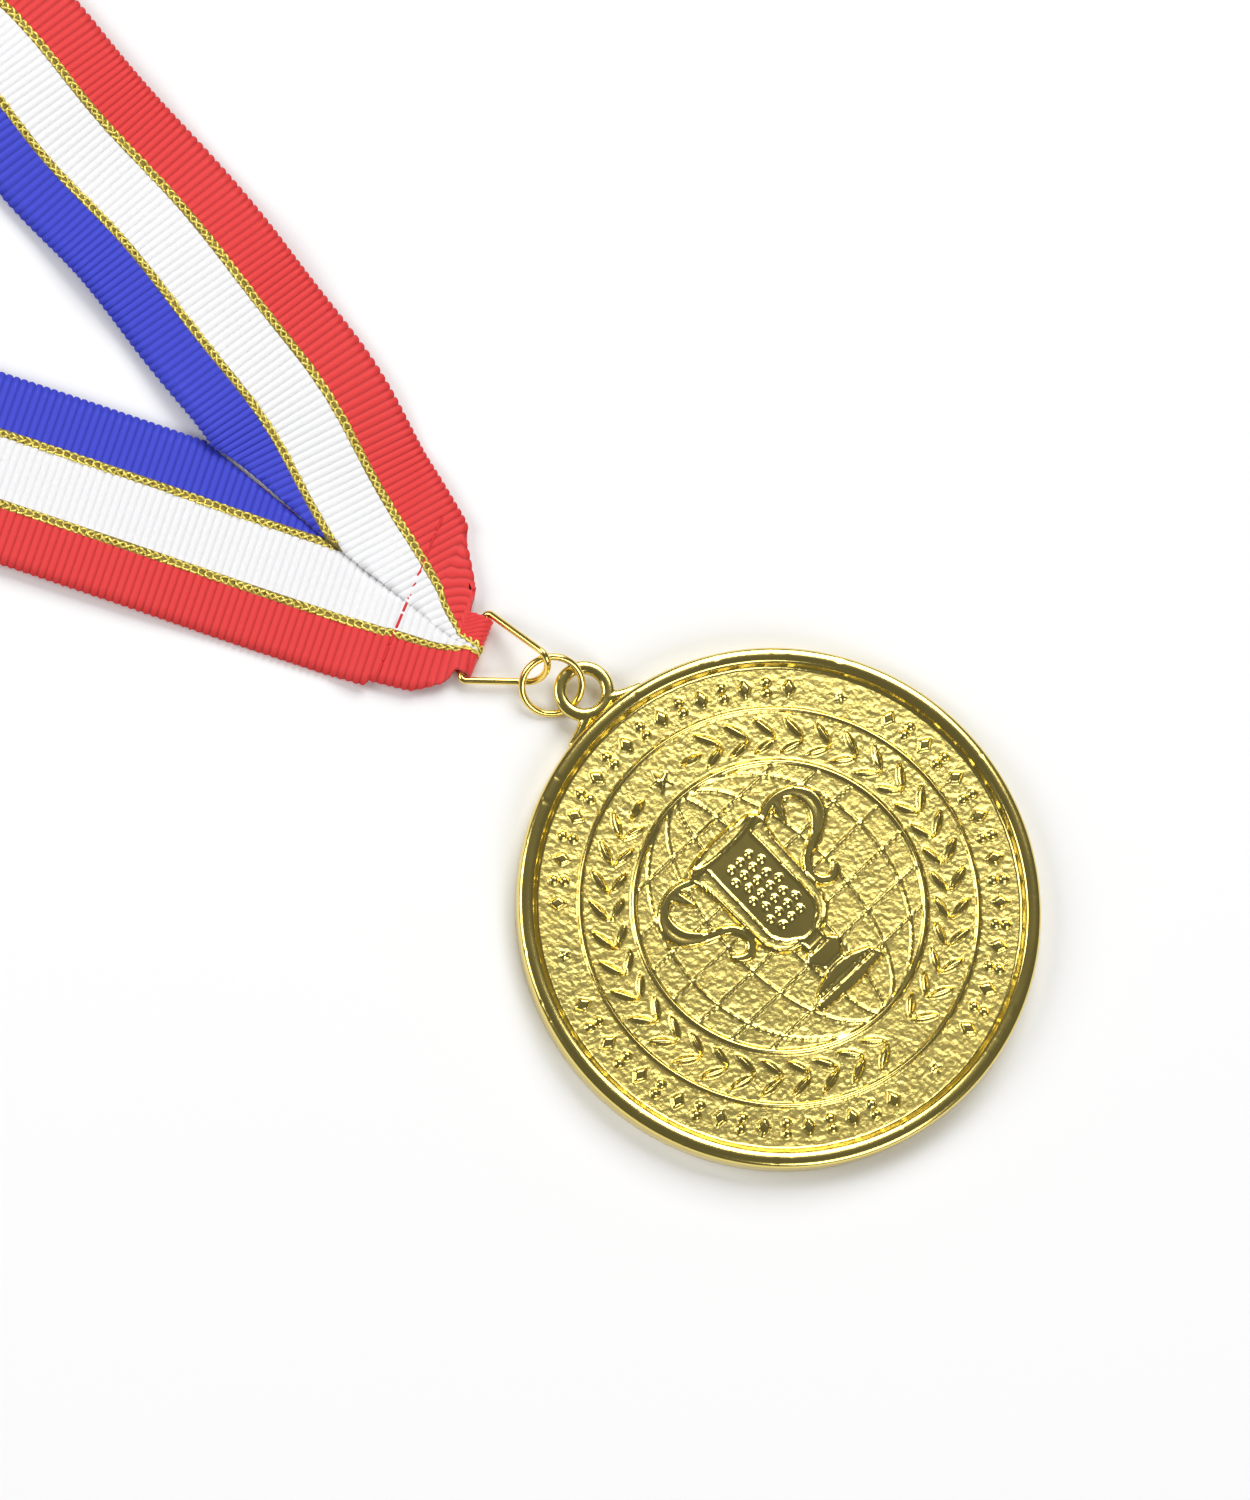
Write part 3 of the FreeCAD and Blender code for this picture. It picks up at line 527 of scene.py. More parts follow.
def bail_shape():
    """Band, web and scrolls as one softened casting."""
    bm = bmesh.new()
    ring_mid = BAIL_HOLE_RADIUS + BAIL_BAND / 2
    rows, around = 64, 16
    grid = []
    for i in range(rows):
        a = 2 * math.pi * i / rows
        ring = []
        for j in range(around):
            b = 2 * math.pi * j / around
            wide = BAIL_BAND / 2 * math.copysign(abs(math.cos(b)) ** 0.7, math.cos(b))
            tall = BAIL_THICKNESS / 2 * math.copysign(abs(math.sin(b)) ** 0.7, math.sin(b))
            reach = ring_mid + wide
            ring.append(bm.verts.new(Vector((reach * math.sin(a), BAIL_Y + reach * math.cos(a),
                                             BAIL_MID_HEIGHT + tall)) * MM))
        grid.append(ring)
    for i in range(rows):
        for j in range(around):
            bm.faces.new((grid[i][j], grid[i][(j + 1) % around], grid[(i + 1) % rows][(j + 1) % around],
                          grid[(i + 1) % rows][j]))
    spread = math.radians(SCROLL_ANGLE)
    for side in (-1, 1):
        for step in range(12):
            t = step / 11
            a = side * (spread * 0.42 + spread * 0.95 * t)
            reach = DISC_RADIUS + 0.75 * (1 - t) ** 2 - 0.1
            at = Vector((reach * math.sin(a), reach * math.cos(a), BAIL_MID_HEIGHT))
            place = Matrix.Translation(at * MM) @ Matrix.Diagonal((1, 1, 0.85, 1))
            bmesh.ops.create_uvsphere(bm, u_segments=16, v_segments=12, radius=(0.72 - 0.3 * t) * MM,
                                      matrix=place)
    mesh = bpy.data.meshes.new("bail")
    bm.to_mesh(mesh)
    bm.free()
    bail = link("bail", mesh)
    face_outwards(mesh)
    remesh = bail.modifiers.new("remesh", "REMESH")
    remesh.mode, remesh.voxel_size = "VOXEL", 0.11 * MM
    soften = bail.modifiers.new("soften", "SMOOTH")
    soften.factor, soften.iterations = 0.5, 4
    return applied(bail)


def medal_piece(material):
    """The disc and its bail as one casting, with how polished each spot is kept on its mesh."""
    disc = link("medal", medal_mesh())
    face_outwards(disc.data)
    bail = bail_shape()
    join = disc.modifiers.new("bail", "BOOLEAN")
    join.operation, join.solver, join.object = "UNION", "MANIFOLD", bail
    applied(disc)
    bpy.data.objects.remove(bail)
    mesh = disc.data
    co = np.zeros(len(mesh.vertices) * 3)
    mesh.vertices.foreach_get("co", co)
    co = co.reshape(-1, 3) / MM
    radius = np.hypot(co[:, 0], co[:, 1])
    front = (radius < FIELD_RADIUS - 0.1) & (co[:, 2] > FIELD_HEIGHT - 0.4)
    polish = np.ones(len(co))
    polish[front] = relief(co[front, 0], co[front, 1])[1]
    polish[co[:, 2] < 0.05] = 0.45
    shine = mesh.attributes.new("polish", "FLOAT", "POINT")
    shine.data.foreach_set("value", polish)
    mesh.shade_smooth()
    mesh.set_sharp_from_angle(angle=math.radians(60))
    mesh.materials.clear()
    mesh.materials.append(material)
    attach(disc, "medal")
    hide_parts("medal_casting")
    return disc


# ------------------------------------------------------------------ ribbon

BAR = next(j for j in frame["joints"] if j["name"] == "clip_swing")
ALONG_BAR = np.array(BAR["axis"][:2]) / np.hypot(*BAR["axis"][:2])
INTO = np.array([-ALONG_BAR[1], ALONG_BAR[0]])
TIP = np.array(BAR["pos_m"][:2]) / MM - INTO * BAR_SET_IN
APEX = TIP + np.array(V_APEX_FROM_TIP)


def lean(degrees):
    """Unit vectors that lean this many degrees anticlockwise from +Y."""
    a = np.radians(degrees)
    return np.stack([-np.sin(a), np.cos(a)], -1)


def strand_axes(side):
    """Outward and forward directions of a strand where it leaves the V."""
    heading = MITRE_LEAN - side * HALF_ANGLE
    return lean(heading - side * 90), lean(heading)


def from_seam(u, s):
    """Distance from the mitre seam to a point of a strand's flat strip."""
    return u * math.cos(MITRE_ANGLE) + s * math.sin(MITRE_ANGLE) - HALF * math.cos(MITRE_ANGLE)


def strand_line(side, s):
    """Middle point and outward direction of a strand, this far from the V's apex. The lower strand runs
    straight, and the upper one turns, with the slow waves of a ribbon that was dropped on a table."""
    outward, along = strand_axes(side)
    start = APEX - outward * HALF
    if side < 0:
        return start + np.multiply.outer(s, along), np.broadcast_to(outward, (len(s), 2))
    start_heading = MITRE_LEAN - side * HALF_ANGLE
    table = np.linspace(0, STRAND_END + 5, 1500)
    heading = start_heading * (1 - np.clip((table - TURN_START) / TURN_LENGTH, 0, 1))
    heading += 1.5 * np.sin((table - 30) / 9.5) * smooth((table - 40) / 20) * (table < STRAND_END)
    heading += 3.5 * np.sin(table / 3.9 + 1.2) * smooth((table - 30) / 12) * smooth((108 - table) / 12)
    steps = lean(heading) * (table[1] - table[0])
    line = start + np.vstack([[0, 0], np.cumsum(steps, 0)[:-1]])
    middle = np.column_stack([np.interp(s, table, line[:, 0]), np.interp(s, table, line[:, 1])])
    return middle, lean(np.interp(s, table, heading) - 90)


def ribs(s):
    """Rounded cross ribs with narrow valleys between them."""
    f = (s / RIB_PITCH) % 1
    return 1 - (2 * f - 1) ** 2


def fold_tip(plan, z, rib):
    """The tip brought in to the clip's width and folded back under itself round the bar. Its ribs stand
    outwards there, so the cloth stays clear of the wire."""
    a, q = (plan - TIP) @ INTO, (plan - TIP) @ ALONG_BAR
    upper = q > 0
    natural = np.where(upper, UPPER_OUTLINE[0] + UPPER_OUTLINE[1] * a,
                       LOWER_OUTLINE[0] + LOWER_OUTLINE[1] * a)
    limit = np.where(upper, np.interp(a, *zip(*UPPER_TIP)), np.interp(a, *zip(*LOWER_TIP)))
    share = limit / np.maximum(natural, 0.5)
    q = q / (1 + np.maximum(share, 0.05) ** -9.0) ** (1 / 9)
    top = BAR_SET_IN + ROLL_RADIUS
    radius = ROLL_RADIUS + RIB_HEIGHT * rib
    turn = (BAR_SET_IN - a) / ROLL_RADIUS
    rolled = (turn > 0) & (turn < math.pi)
    under = turn >= math.pi
    level = np.interp(a, [BAR_SET_IN, 1.3, 3.2, HEM, HEM + HEM_FADE],
                      [top, top, UPPER_LAYER, UPPER_LAYER, LOWER_LAYER])
    t = np.where(rolled, BAR_SET_IN - radius * np.sin(turn), a)
    t = np.where(under, BAR_SET_IN + (turn - math.pi) * ROLL_RADIUS, t)
    height = np.where(rolled, BAR_SET_IN + radius * np.cos(turn), level)
    height = np.where(under, LOWER_LAYER, height)
    near = a < HEM + HEM_FADE
    folded = TIP + np.outer(t, INTO) + np.outer(q, ALONG_BAR)
    rise = RIB_HEIGHT * (rib - 0.5)
    rise += 0.5 * RIB_HEIGHT * smooth((RIB_LIFT_END - a) / 1.5)
    rise = np.select([rolled, under], [0, 0.3 * RIB_HEIGHT * (rib - 0.5)], rise)
    z = np.where(near, height + (z - LOWER_LAYER) * (turn < 0), z)
    return np.where(near[:, None], folded, plan), z, rise


def pack_path(s):
    """Where the accordion pack carries a length s of ribbon: distance along the strand, and height."""
    radius = LAYER_PITCH / 2
    turn = math.pi * radius
    past = np.maximum(s - PACK_START, 0)
    layer = np.minimum((past // (BUNDLE_LENGTH + turn)).astype(int), BUNDLE_LAYERS - 1)
    rest = past - layer * (BUNDLE_LENGTH + turn)
    angle = np.clip((rest - BUNDLE_LENGTH) / radius, 0, math.pi)
    forward = np.where(layer % 2 == 0, 1, -1)
    straight = np.minimum(rest, BUNDLE_LENGTH)
    inset = 0.35 * np.sin(layer * 2.3)
    x = np.where(forward > 0, straight, BUNDLE_LENGTH - straight)
    x = x + forward * (radius * np.sin(angle) + inset)
    z = layer * LAYER_PITCH + radius * (1 - np.cos(angle))
    return np.where(s < PACK_START, s, PACK_START + x), np.where(s < PACK_START, 0, z)


PACK_LENGTH = (STRAND_END - BUNDLE_LENGTH + BUNDLE_LAYERS * BUNDLE_LENGTH
               + (BUNDLE_LAYERS - 1) * math.pi * LAYER_PITCH / 2)
FINE_STEP = RIB_PITCH / ROWS_PER_RIB
COARSE_STEP = RIB_PITCH * 2
CROSSING_LEAD = 12.0        # how far the crossing's ends carry on under its diagonal folds
FIRST_ROW = 3.0             # a strand's first station from the V's apex, outside the cloth that is kept
# The stretches of a strand that can be seen, where the lurex threads run.
STRAND_SPANS = [(FIRST_ROW, PACK_START), (PACK_LENGTH - BUNDLE_LENGTH + 0.5, PACK_LENGTH - 10)]


def strand_rows():
    """Stations along a strand: fine where the ribs show, coarse inside the pack."""
    seen = np.arange(FIRST_ROW, PACK_START, FINE_STEP)
    hidden = np.arange(seen[-1] + FINE_STEP, PACK_LENGTH - BUNDLE_LENGTH, COARSE_STEP / 4)
    layer_length = BUNDLE_LENGTH + math.pi * LAYER_PITCH / 2
    into_layer = (hidden - PACK_START) % layer_length
    near_turn = (into_layer > BUNDLE_LENGTH - 0.8) | (into_layer < 0.8)
    keep = near_turn | (np.arange(len(hidden)) % 4 == 0)
    top = np.arange(PACK_LENGTH - BUNDLE_LENGTH, PACK_LENGTH, FINE_STEP * 1.25)
    return np.concatenate([seen, hidden[keep], top])


def flat_strip(rows, columns=COLUMNS):
    """A flat strip in (in from the middle, along) coordinates as a bmesh."""
    bm = bmesh.new()
    across = np.linspace(-HALF, HALF, columns + 1)
    grid = [[bm.verts.new((u, s, 0)) for u in across] for s in rows]
    for a, b in zip(grid, grid[1:]):
        for i in range(columns):
            bm.faces.new((a[i], a[i + 1], b[i + 1], b[i]))
    return bm


def trim(bm, point, normal):
    """Cut the flat strip along a line and drop what lies behind it."""
    geometry = list(bm.verts) + list(bm.edges) + list(bm.faces)
    bmesh.ops.bisect_plane(bm, geom=geometry, plane_co=(*point, 0), plane_no=(*normal, 0), clear_inner=True)


def place_strand(side, u, s):
    """Where a strand carries the points of its flat strip, u from its middle and s from the V's apex."""
    on_strand, lift = pack_path(s)
    centre, out = strand_line(side, on_strand)
    rib = ribs(s)
    scallop = SCALLOP * (rib - 0.5) * smooth((np.abs(u) - HALF + 1.2) / 1.2)
    plan = centre + out * (u + np.sign(u) * scallop)[:, None]
    z = LOWER_LAYER + lift
    free = smooth((s - 36) / 14) * smooth((PACK_START + 2 - s) / 15)
    if side > 0:
        ripple = 0.45 * np.sin(s / 4.4 + 0.4) * (0.6 + 0.4 * np.sin(s / 13))
        ripple = ripple + 0.3 * np.sin(s / 3.1 + 1.0) * u / HALF
        z = z + free * (0.95 + ripple)
        z = z + 0.35 * smooth(1 - from_seam(u, s) / 5) * smooth((s - 22) / 6)
    else:
        z = z + free * (0.4 + 0.3 * np.sin(s / 10.5 + 2.0))
    plan, z, rise = fold_tip(plan, z, rib)
    z = z + rise * (s < PACK_START + 1)
    z = z + 0.5 * RIB_HEIGHT * (rib - 0.5) * (s > PACK_LENGTH - BUNDLE_LENGTH)
    return np.column_stack([plan, z])


def hem_line(side):
    """The cloth's cut end under the tip: a point of the flat strip and the way back to the strand."""
    outward, along = strand_axes(side)
    slope = np.array([outward @ INTO, along @ INTO])
    hem_edge = -(HEM - BAR_SET_IN) - math.pi * ROLL_RADIUS + BAR_SET_IN
    reach = (hem_edge - (APEX - outward * HALF - TIP) @ INTO) / slope[1]
    return (0, reach), slope / np.hypot(*slope)


def refine_roll(bm, side):
    """More columns where the cloth goes round the clip's bar, so that it follows the bar closely."""
    outward, along = strand_axes(side)
    edges = []
    for edge in bm.edges:
        a, b = edge.verts[0].co, edge.verts[1].co
        u, s = (a.x + b.x) / 2, (a.y + b.y) / 2
        from_edge = (APEX + outward * (u - HALF) + along * s - TIP) @ INTO
        if abs(a.y - b.y) < abs(a.x - b.x) / 4 and ROLL_REGION[0] < from_edge < ROLL_REGION[1]:
            edges.append(edge)
    bmesh.ops.subdivide_edges(bm, edges=edges, cuts=3)


def strand_mesh(side):
    """One strand cut to the mitre seam and to its hem, with its flat and its placed points."""
    bm = flat_strip(strand_rows())
    trim(bm, (HALF, 0), (math.cos(MITRE_ANGLE), math.sin(MITRE_ANGLE)))
    trim(bm, *hem_line(side))
    refine_roll(bm, side)
    flat = np.array([v.co[:2] for v in bm.verts])
    return bm, flat, place_strand(side, flat[:, 0], flat[:, 1])


def fold_over(points, through, normal):
    """The part of a flat strip beyond a line, folded back under it."""
    normal = normal / np.hypot(*normal)
    past = (points[:, :2] - through) @ normal
    angle = np.clip(past / CROSSING_FOLD, 0, math.pi)
    beyond = np.maximum(past - math.pi * CROSSING_FOLD, 0)
    moved = np.where(past > 0, CROSSING_FOLD * np.sin(angle) - beyond - past, 0)
    points[:, :2] += moved[:, None] * normal
    points[:, 2] -= CROSSING_FOLD * (1 - np.cos(angle)) * (past > 0)
    return points


def crossing_ends():
    """Where the crossing folds over on each pack, and the way each strand runs there."""
    ends = []
    for side in (1, -1):
        centre, out = strand_line(side, np.array([STRAND_END]))
        along = np.array([-out[0][1], out[0][0]]) * side
        ends.append((centre[0] - along * HALF, along))
    return ends


def place_crossing(u, s):
    """The stretch behind the neck: laid over the packs, with a diagonal fold at each. Its red edge
    faces the medal, as it does once each strand has been folded over."""
    (a, a_along), (b, b_along) = crossing_ends()
    run = (b - a) / np.hypot(*(b - a))
    side_way = np.array([-run[1], run[0]])
    points = np.column_stack([a + np.outer(s, run) + np.outer(u, side_way),
                              np.full(len(s), BUNDLE_LAYERS * LAYER_PITCH + CROSSING_LIFT)])
    points = fold_over(points, a, a_along - run)
    points = fold_over(points, b, run + b_along)
    points[:, 2] += 0.5 * RIB_HEIGHT * (ribs(s) - 0.5)
    return points


def crossing_mesh():
    """The crossing's strip, with its flat and its placed points."""
    (a, _), (b, _) = crossing_ends()
    rows = np.arange(-CROSSING_LEAD, np.hypot(*(b - a)) + CROSSING_LEAD, FINE_STEP * 1.25)
    bm = flat_strip(rows, CROSSING_COLUMNS)
    flat = np.array([v.co[:2] for v in bm.verts])
    return bm, flat, place_crossing(flat[:, 0], flat[:, 1])


def swept(points, normals):
    """A thin thread along a line of points, as vertices and faces."""
    along = np.gradient(points, axis=0)
    along /= np.linalg.norm(along, axis=1)[:, None]
    across = np.cross(normals, along)
    turns = 2 * np.pi * np.arange(LUREX_SIDES) / LUREX_SIDES
    ring = across[:, None, :] * np.cos(turns)[None, :, None]
    ring = ring + normals[:, None, :] * np.sin(turns)[None, :, None]
    verts = (points[:, None, :] + LUREX_RADIUS * ring).reshape(-1, 3)
    faces = []
    for i in range(len(points) - 1):
        here, after = i * LUREX_SIDES, (i + 1) * LUREX_SIDES
        for j in range(LUREX_SIDES):
            k = (j + 1) % LUREX_SIDES
            faces.append((here + j, here + k, after + k, after + j))
    last = (len(points) - 1) * LUREX_SIDES
    faces += [tuple(range(LUREX_SIDES))[::-1], tuple(range(last, last + LUREX_SIDES))]
    return verts, faces


def lurex_piece(material):
    """Two metallic threads that swing across each other along every gold line, like a fine chain."""
    (a, _), (b, _) = crossing_ends()
    crossing_length = np.hypot(*(b - a))
    stretches = [(lambda u, s, side=side: place_strand(side, u, s), side, STRAND_SPANS)
                 for side in (1, -1)]
    stretches.append((place_crossing, -1, [(HALF, crossing_length - HALF)]))
    verts, faces = [], []
    for place, hand, spans in stretches:
        for start, end in spans:
            s = np.arange(start, end, LUREX_STEP)
            for line in GOLD_LINES:
                for phase in (0, math.pi):
                    swing = LUREX_SWING * np.sin(2 * np.pi * s / LUREX_LINK + phase)
                    swing += LUREX_STRAY * (value_noise(s, s * 0 + phase + line, 0.9, 6) - 0.5)
                    u = HALF - line + swing
                    keep = np.ones(len(s), bool)
                    if place is not place_crossing:
                        point, way = hem_line(hand)
                        keep = from_seam(u, s) > 0.1
                        keep &= (u - point[0]) * way[0] + (s - point[1]) * way[1] > 0.3
                    u, along = u[keep], s[keep]
                    if len(u) < 8:
                        continue
                    here = place(u, along)
                    normal = hand * np.cross(place(u + 0.2, along) - here, place(u, along + 0.2) - here)
                    normal /= np.linalg.norm(normal, axis=1)[:, None]
                    lift = RIBBON_THICKNESS / 2 + 0.04 + 0.07 * np.cos(np.pi * along / LUREX_LINK + phase)
                    more, sides = swept(here + normal * lift[:, None], normal)
                    base = len(verts)
                    verts += (more * MM).tolist()
                    faces += [tuple(base + i for i in f) for f in sides]
    mesh = bpy.data.meshes.new("lurex")
    mesh.from_pydata(verts, [], faces)
    mesh.materials.append(material)
    mesh.shade_smooth()
    piece = link("lurex_threads", mesh)
    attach(piece, "ribbon")
    return piece


def ribbon_piece(material):
    """Both strands and the crossing as one cloth, with its flat places kept as a texture map."""
    parts = [strand_mesh(1), strand_mesh(-1), crossing_mesh()]
    verts, faces, uvs = [], [], []
    for bm, flat, points in parts:
        base = len(verts)
        bm.verts.index_update()
        verts += (points * MM).tolist()
        uvs += [((HALF - u) / RIBBON_WIDTH, s / RIBBON_WIDTH) for u, s in flat]
        faces += [[base + v.index for v in f.verts] for f in bm.faces]
        bm.free()
    mesh = bpy.data.meshes.new("neck_ribbon_cloth")
    mesh.from_pydata(verts, [], faces)
    layer = mesh.uv_layers.new(name="cloth")
    corner = np.zeros(len(mesh.loops), int)
    mesh.loops.foreach_get("vertex_index", corner)
    layer.data.foreach_set("uv", np.array(uvs)[corner].ravel())
    mesh.materials.append(material)
    mesh.shade_smooth()
    piece = link("ribbon", mesh)
    body = piece.modifiers.new("thickness", "SOLIDIFY")
    body.thickness, body.offset = RIBBON_THICKNESS * MM, 0
    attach(piece, "ribbon")
    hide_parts("neck_ribbon")
    return piece


# ------------------------------------------------------------------ materials

def new_material(name):
    material = bpy.data.materials.new(name)
    material.use_nodes = True
    nodes, links = material.node_tree.nodes, material.node_tree.links
    return material, nodes, links, nodes["Principled BSDF"]


def add_node(nodes, kind, values=None, **settings):
    """A new shader node with its settings, then the values of its inputs."""
    made = nodes.new("ShaderNode" + kind)
    for key, setting in settings.items():
        setattr(made, key, setting)
    for key, value in (values or {}).items():
        made.inputs[key].default_value = value
    return made


def two_tones(nodes, links, factor, first, second):
    """A colour that wanders between two, led by a pattern."""
    tint = add_node(nodes, "Mix", data_type="RGBA")
    tint.inputs["A"].default_value = (*first, 1)
    tint.inputs["B"].default_value = (*second, 1)
    links.new(factor, tint.inputs["Factor"])
    return tint.outputs["Result"]


def spread(nodes, links, value, **ends):
    """A value from 0 to 1 mapped to another range."""
    names = {"low": "To Min", "high": "To Max", "full_at": "From Max"}
    reach = add_node(nodes, "MapRange", {names[key]: end for key, end in ends.items()})
    links.new(value, reach.inputs["Value"])
    return reach.outputs["Result"]


def pattern(nodes, links, kind, **values):
    """A texture in the object's own coordinates."""
    place = add_node(nodes, "TexCoord")
    made = add_node(nodes, kind, values)
    links.new(place.outputs["Object"], made.inputs["Vector"])
    return made


def gold_plate():
    """Cast and plated: satin where it is sandblasted and mirror-bright where it is polished."""
    material, nodes, links, shader = new_material("gold_plate")
    shader.inputs["Metallic"].default_value = 1.0
    polish = add_node(nodes, "Attribute", attribute_name="polish").outputs["Fac"]
    cloud = pattern(nodes, links, "TexNoise", Scale=260, Detail=4).outputs["Fac"]
    tint = two_tones(nodes, links, cloud, (0.83, 0.70, 0.22), (0.87, 0.67, 0.18))
    links.new(tint, shader.inputs["Base Color"])
    rough = spread(nodes, links, polish, low=0.3, high=0.13)
    smear = add_node(nodes, "Math", {1: 0.08}, operation="MULTIPLY_ADD")
    links.new(cloud, smear.inputs[0])
    links.new(rough, smear.inputs[2])
    links.new(smear.outputs["Value"], shader.inputs["Roughness"])
    sand = pattern(nodes, links, "TexNoise", Scale=3600, Detail=3).outputs["Fac"]
    bump = add_node(nodes, "Bump", {"Distance": 0.05 * MM})
    links.new(spread(nodes, links, polish, low=0.9, high=0.03), bump.inputs["Strength"])
    links.new(sand, bump.inputs["Height"])
    links.new(bump.outputs["Normal"], shader.inputs["Normal"])
    return material


def gold_wire():
    """Bright plated wire, a little uneven from being drawn and bent."""
    material, nodes, links, shader = new_material("gold_wire")
    shader.inputs["Metallic"].default_value = 1.0
    draw = pattern(nodes, links, "TexNoise", Scale=900, Detail=3).outputs["Fac"]
    tint = two_tones(nodes, links, draw, (0.95, 0.76, 0.22), (0.98, 0.70, 0.18))
    links.new(tint, shader.inputs["Base Color"])
    links.new(spread(nodes, links, draw, low=0.12, high=0.24), shader.inputs["Roughness"])
    return material


def striped_cloth():
    """Grosgrain in five stripes, with fine warp threads, and painted shade that darkens the cloth's colour in
    the valleys between the ribs.
    """
    material, nodes, links, shader = new_material("striped_ribbon")
    uv = add_node(nodes, "UVMap", uv_map="cloth").outputs["UV"]
    split = add_node(nodes, "SeparateXYZ")
    links.new(uv, split.inputs["Vector"])
    ramp = add_node(nodes, "ValToRGB")
    ramp.color_ramp.interpolation = "CONSTANT"
    red, white, blue = (0.80, 0.035, 0.035, 1), (0.90, 0.90, 0.91, 1), (0.035, 0.05, 0.62, 1)
    gold = (0.26, 0.19, 0.03, 1)
    half = GOLD_LINE_WIDTH / 2
    first, second = GOLD_LINES
    stops = [(0, red), ((first - half) / RIBBON_WIDTH, gold), ((first + half) / RIBBON_WIDTH, white),
             ((second - half) / RIBBON_WIDTH, gold), ((second + half) / RIBBON_WIDTH, blue)]
    elements = ramp.color_ramp.elements
    elements[0].position, elements[0].color = stops[0]
    elements[1].position, elements[1].color = stops[1]
    for position, colour in stops[2:]:
        elements.new(position).color = colour
    links.new(split.outputs["X"], ramp.inputs["Fac"])
    stripes = ramp.outputs["Color"]
    stretch = add_node(nodes, "Mapping", {"Scale": (0.6, 6.0, 1.0)})
    thread = add_node(nodes, "TexNoise", {"Scale": 60, "Detail": 5})
    links.new(uv, stretch.inputs["Vector"])
    links.new(stretch.outputs["Vector"], thread.inputs["Vector"])
    woven = add_node(nodes, "Mix", data_type="RGBA", blend_type="MULTIPLY")
    woven.inputs["Factor"].default_value = 1.0
    links.new(stripes, woven.inputs["A"])
    links.new(spread(nodes, links, thread.outputs["Fac"], low=0.82, high=1.12), woven.inputs["B"])
    count = add_node(nodes, "Math", {1: RIBBON_WIDTH / RIB_PITCH}, operation="MULTIPLY")
    links.new(split.outputs["Y"], count.inputs[0])
    crest = add_node(nodes, "Math", {1: 0.5}, operation="PINGPONG")
    links.new(count.outputs["Value"], crest.inputs[0])
    # Painted shade: the colour is darkened in the valleys between the ribs, in step with the ribs of the
    # mesh.
    painted_valley_shade = spread(nodes, links, crest.outputs["Value"], full_at=0.3, low=0.62)
    channels = add_node(nodes, "SeparateColor")
    links.new(stripes, channels.inputs["Color"])
    painted_shade_mix = add_node(nodes, "Mix", data_type="RGBA", blend_type="MULTIPLY")
    # White cloth has the most green in it, and gets the least painted shade in its valleys.
    links.new(spread(nodes, links, channels.outputs["Green"], low=1.0, high=0.1), painted_shade_mix.inputs["Factor"])
    links.new(woven.outputs["Result"], painted_shade_mix.inputs["A"])
    links.new(painted_valley_shade, painted_shade_mix.inputs["B"])
    links.new(painted_shade_mix.outputs["Result"], shader.inputs["Base Color"])
    shader.inputs["Roughness"].default_value = 0.62
    shader.inputs["Sheen Weight"].default_value = 0.25
    shader.inputs["Sheen Roughness"].default_value = 0.4
    bump = add_node(nodes, "Bump", {"Strength": 0.35, "Distance": 0.06 * MM})
    links.new(thread.outputs["Fac"], bump.inputs["Height"])
    links.new(bump.outputs["Normal"], shader.inputs["Normal"])
    return material


def lurex_material():
    """Metallised yarn that glints unevenly."""
    material, nodes, links, shader = new_material("lurex")
    glint = pattern(nodes, links, "TexVoronoi", Scale=2600).outputs["Distance"]
    tint = two_tones(nodes, links, glint, (1.0, 0.88, 0.22), (0.80, 0.62, 0.10))
    links.new(tint, shader.inputs["Base Color"])
    shader.inputs["Metallic"].default_value = 0.5
    shader.inputs["Roughness"].default_value = 0.3
    return material


def thread_material():
    """Red sewing thread with the bands of its twist."""
    material, nodes, links, shader = new_material("red_thread")
    twist = pattern(nodes, links, "TexWave", Scale=1800).outputs["Fac"]
    tint = two_tones(nodes, links, twist, (0.55, 0.01, 0.015), (0.75, 0.04, 0.04))
    links.new(tint, shader.inputs["Base Color"])
    shader.inputs["Roughness"].default_value = 0.7
    return material


# ------------------------------------------------------------------ stage

def area_light(name, toward, elevation, distance, size, power):
    """A soft box that faces the object from one side of it."""
    e = math.radians(elevation)
    flat = Vector((toward[0], toward[1], 0)).normalized()
    way = flat * math.cos(e) + Vector((0, 0, math.sin(e)))
    light = bpy.data.lights.new(name, "AREA")
    light.shape, light.size, light.energy = "SQUARE", size, power
    lamp = bpy.data.objects.new(name, light)
    lamp.location = Vector((0, 0.04, 0)) + way * distance
    lamp.rotation_euler = way.to_track_quat("Z", "Y").to_euler()
    bpy.context.scene.collection.objects.link(lamp)


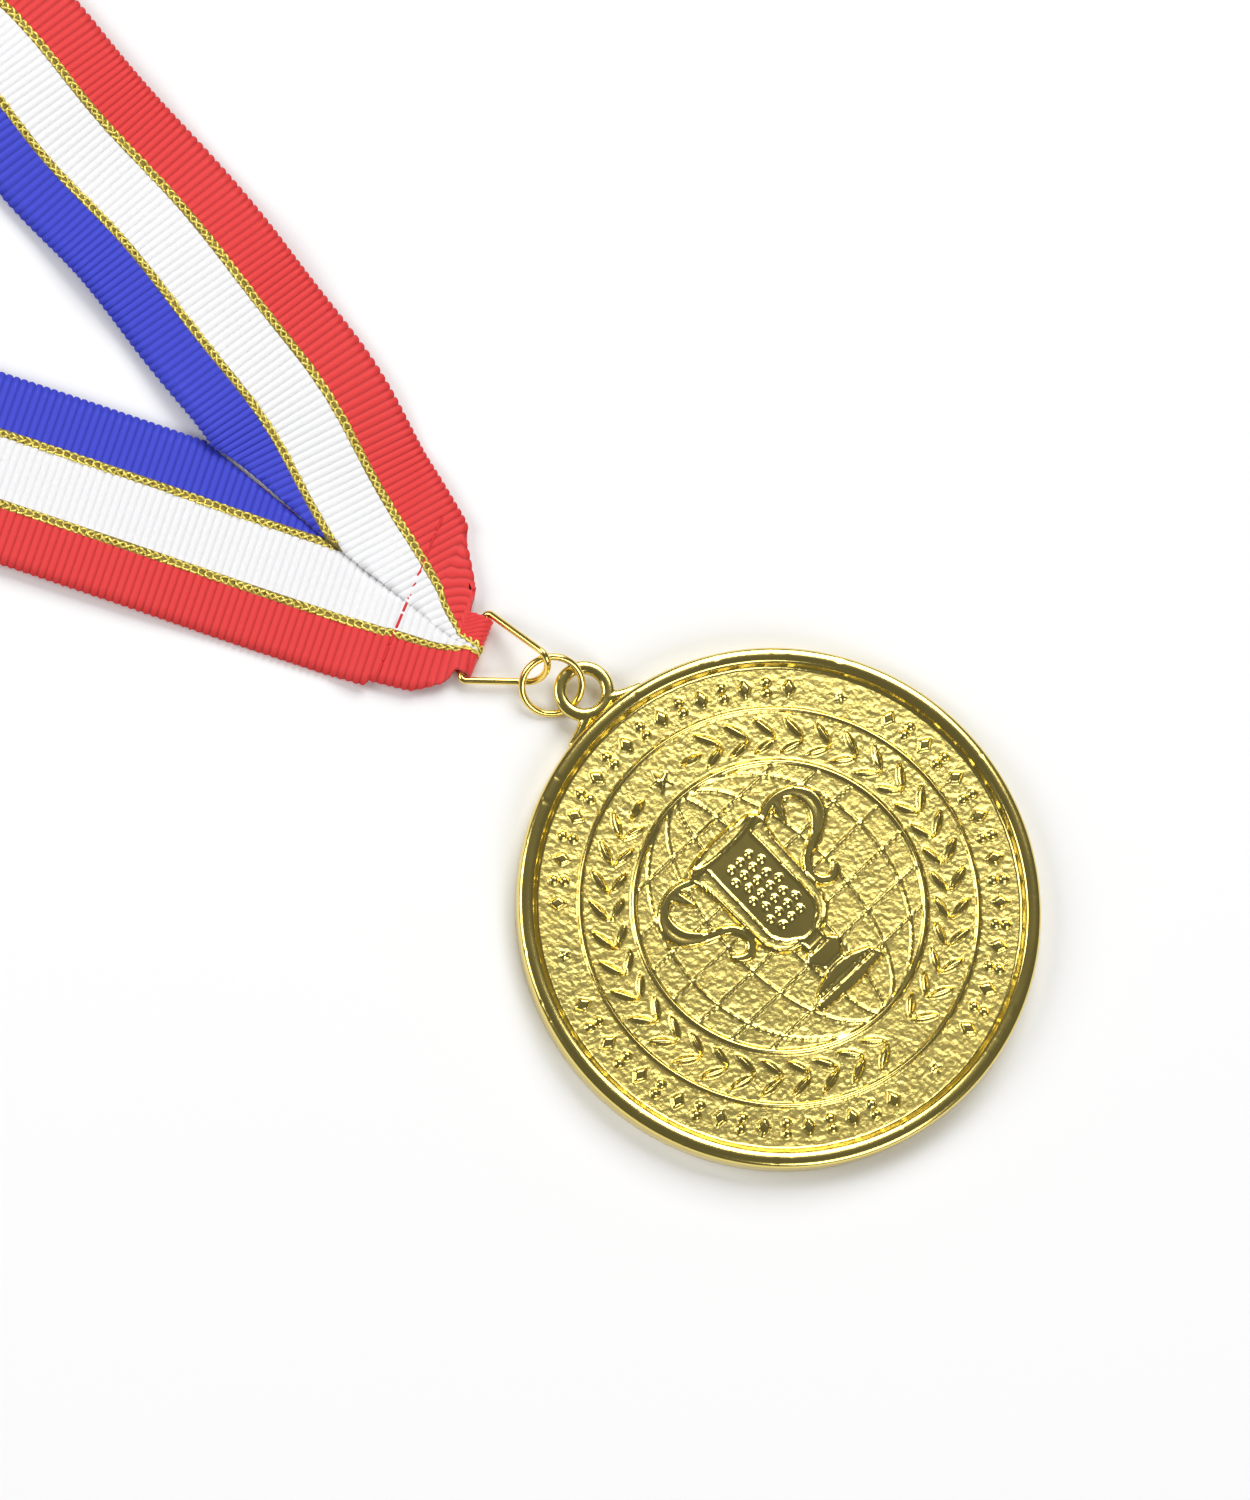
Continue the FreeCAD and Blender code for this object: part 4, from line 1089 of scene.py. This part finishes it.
def stage():
    """A pale floor under three soft lights and a dim, even world."""
    world = bpy.data.worlds.new("studio")
    bpy.context.scene.world = world
    world.use_nodes = True
    background = world.node_tree.nodes["Background"]
    background.inputs["Color"].default_value = (1, 1, 1, 1)
    background.inputs["Strength"].default_value = WORLD_STRENGTH
    up, right = Vector(CAMERA_UP), Vector((CAMERA_UP[1], -CAMERA_UP[0], 0))
    area_light("key", up + right * 0.3, 48, 0.9, 0.6, 6.3)
    area_light("fill_left", up * 0.1 - right, 38, 0.9, 0.5, 3.6)
    area_light("fill_low", right * 0.6 - up, 38, 0.9, 0.45, 2.9)
    floor_mesh = bpy.data.meshes.new("floor")
    bm = bmesh.new()
    bmesh.ops.create_grid(bm, x_segments=1, y_segments=1, size=2.0)
    bm.to_mesh(floor_mesh)
    bm.free()
    floor = link("floor", floor_mesh)
    floor.location.z = -FLOOR_DROP * MM
    paper, _, _, shader = new_material("paper")
    shader.inputs["Base Color"].default_value = (0.93, 0.93, 0.93, 1)
    shader.inputs["Roughness"].default_value = 0.9
    floor_mesh.materials.append(paper)


def camera():
    """Looks down on the medal, turned so that the ribbon leaves at the upper left."""
    data = bpy.data.cameras.new("camera")
    data.sensor_width = SENSOR
    data.lens = SENSOR * CAMERA_DISTANCE / VIEW_HEIGHT
    data.clip_start, data.clip_end = 0.01, 20
    out = Vector(CAMERA_FROM).normalized()
    up = Vector(CAMERA_UP)
    right = up.cross(out).normalized()
    up = out.cross(right)
    eye = bpy.data.objects.new("camera", data)
    turn = Matrix((right, up, out)).transposed()
    eye.matrix_world = Matrix.Translation((Vector(LOOK_AT) + out * CAMERA_DISTANCE) * MM) @ turn.to_4x4()
    bpy.context.scene.collection.objects.link(eye)
    bpy.context.scene.camera = eye


# ------------------------------------------------------------------ making

camera()
stage()
bpy.context.scene.view_settings.view_transform = "Standard"

medal_piece(gold_plate())
wire = gold_wire()
thread = thread_material()
for node, material in (("jump_ring", wire), ("ribbon_clip", wire),
                       ("pocket_stitching", thread), ("mitre_stitching", thread)):
    frame["nodes"][node].data.materials.clear()
    frame["nodes"][node].data.materials.append(material)

ribbon = ribbon_piece(striped_cloth())
lurex = lurex_piece(lurex_material())
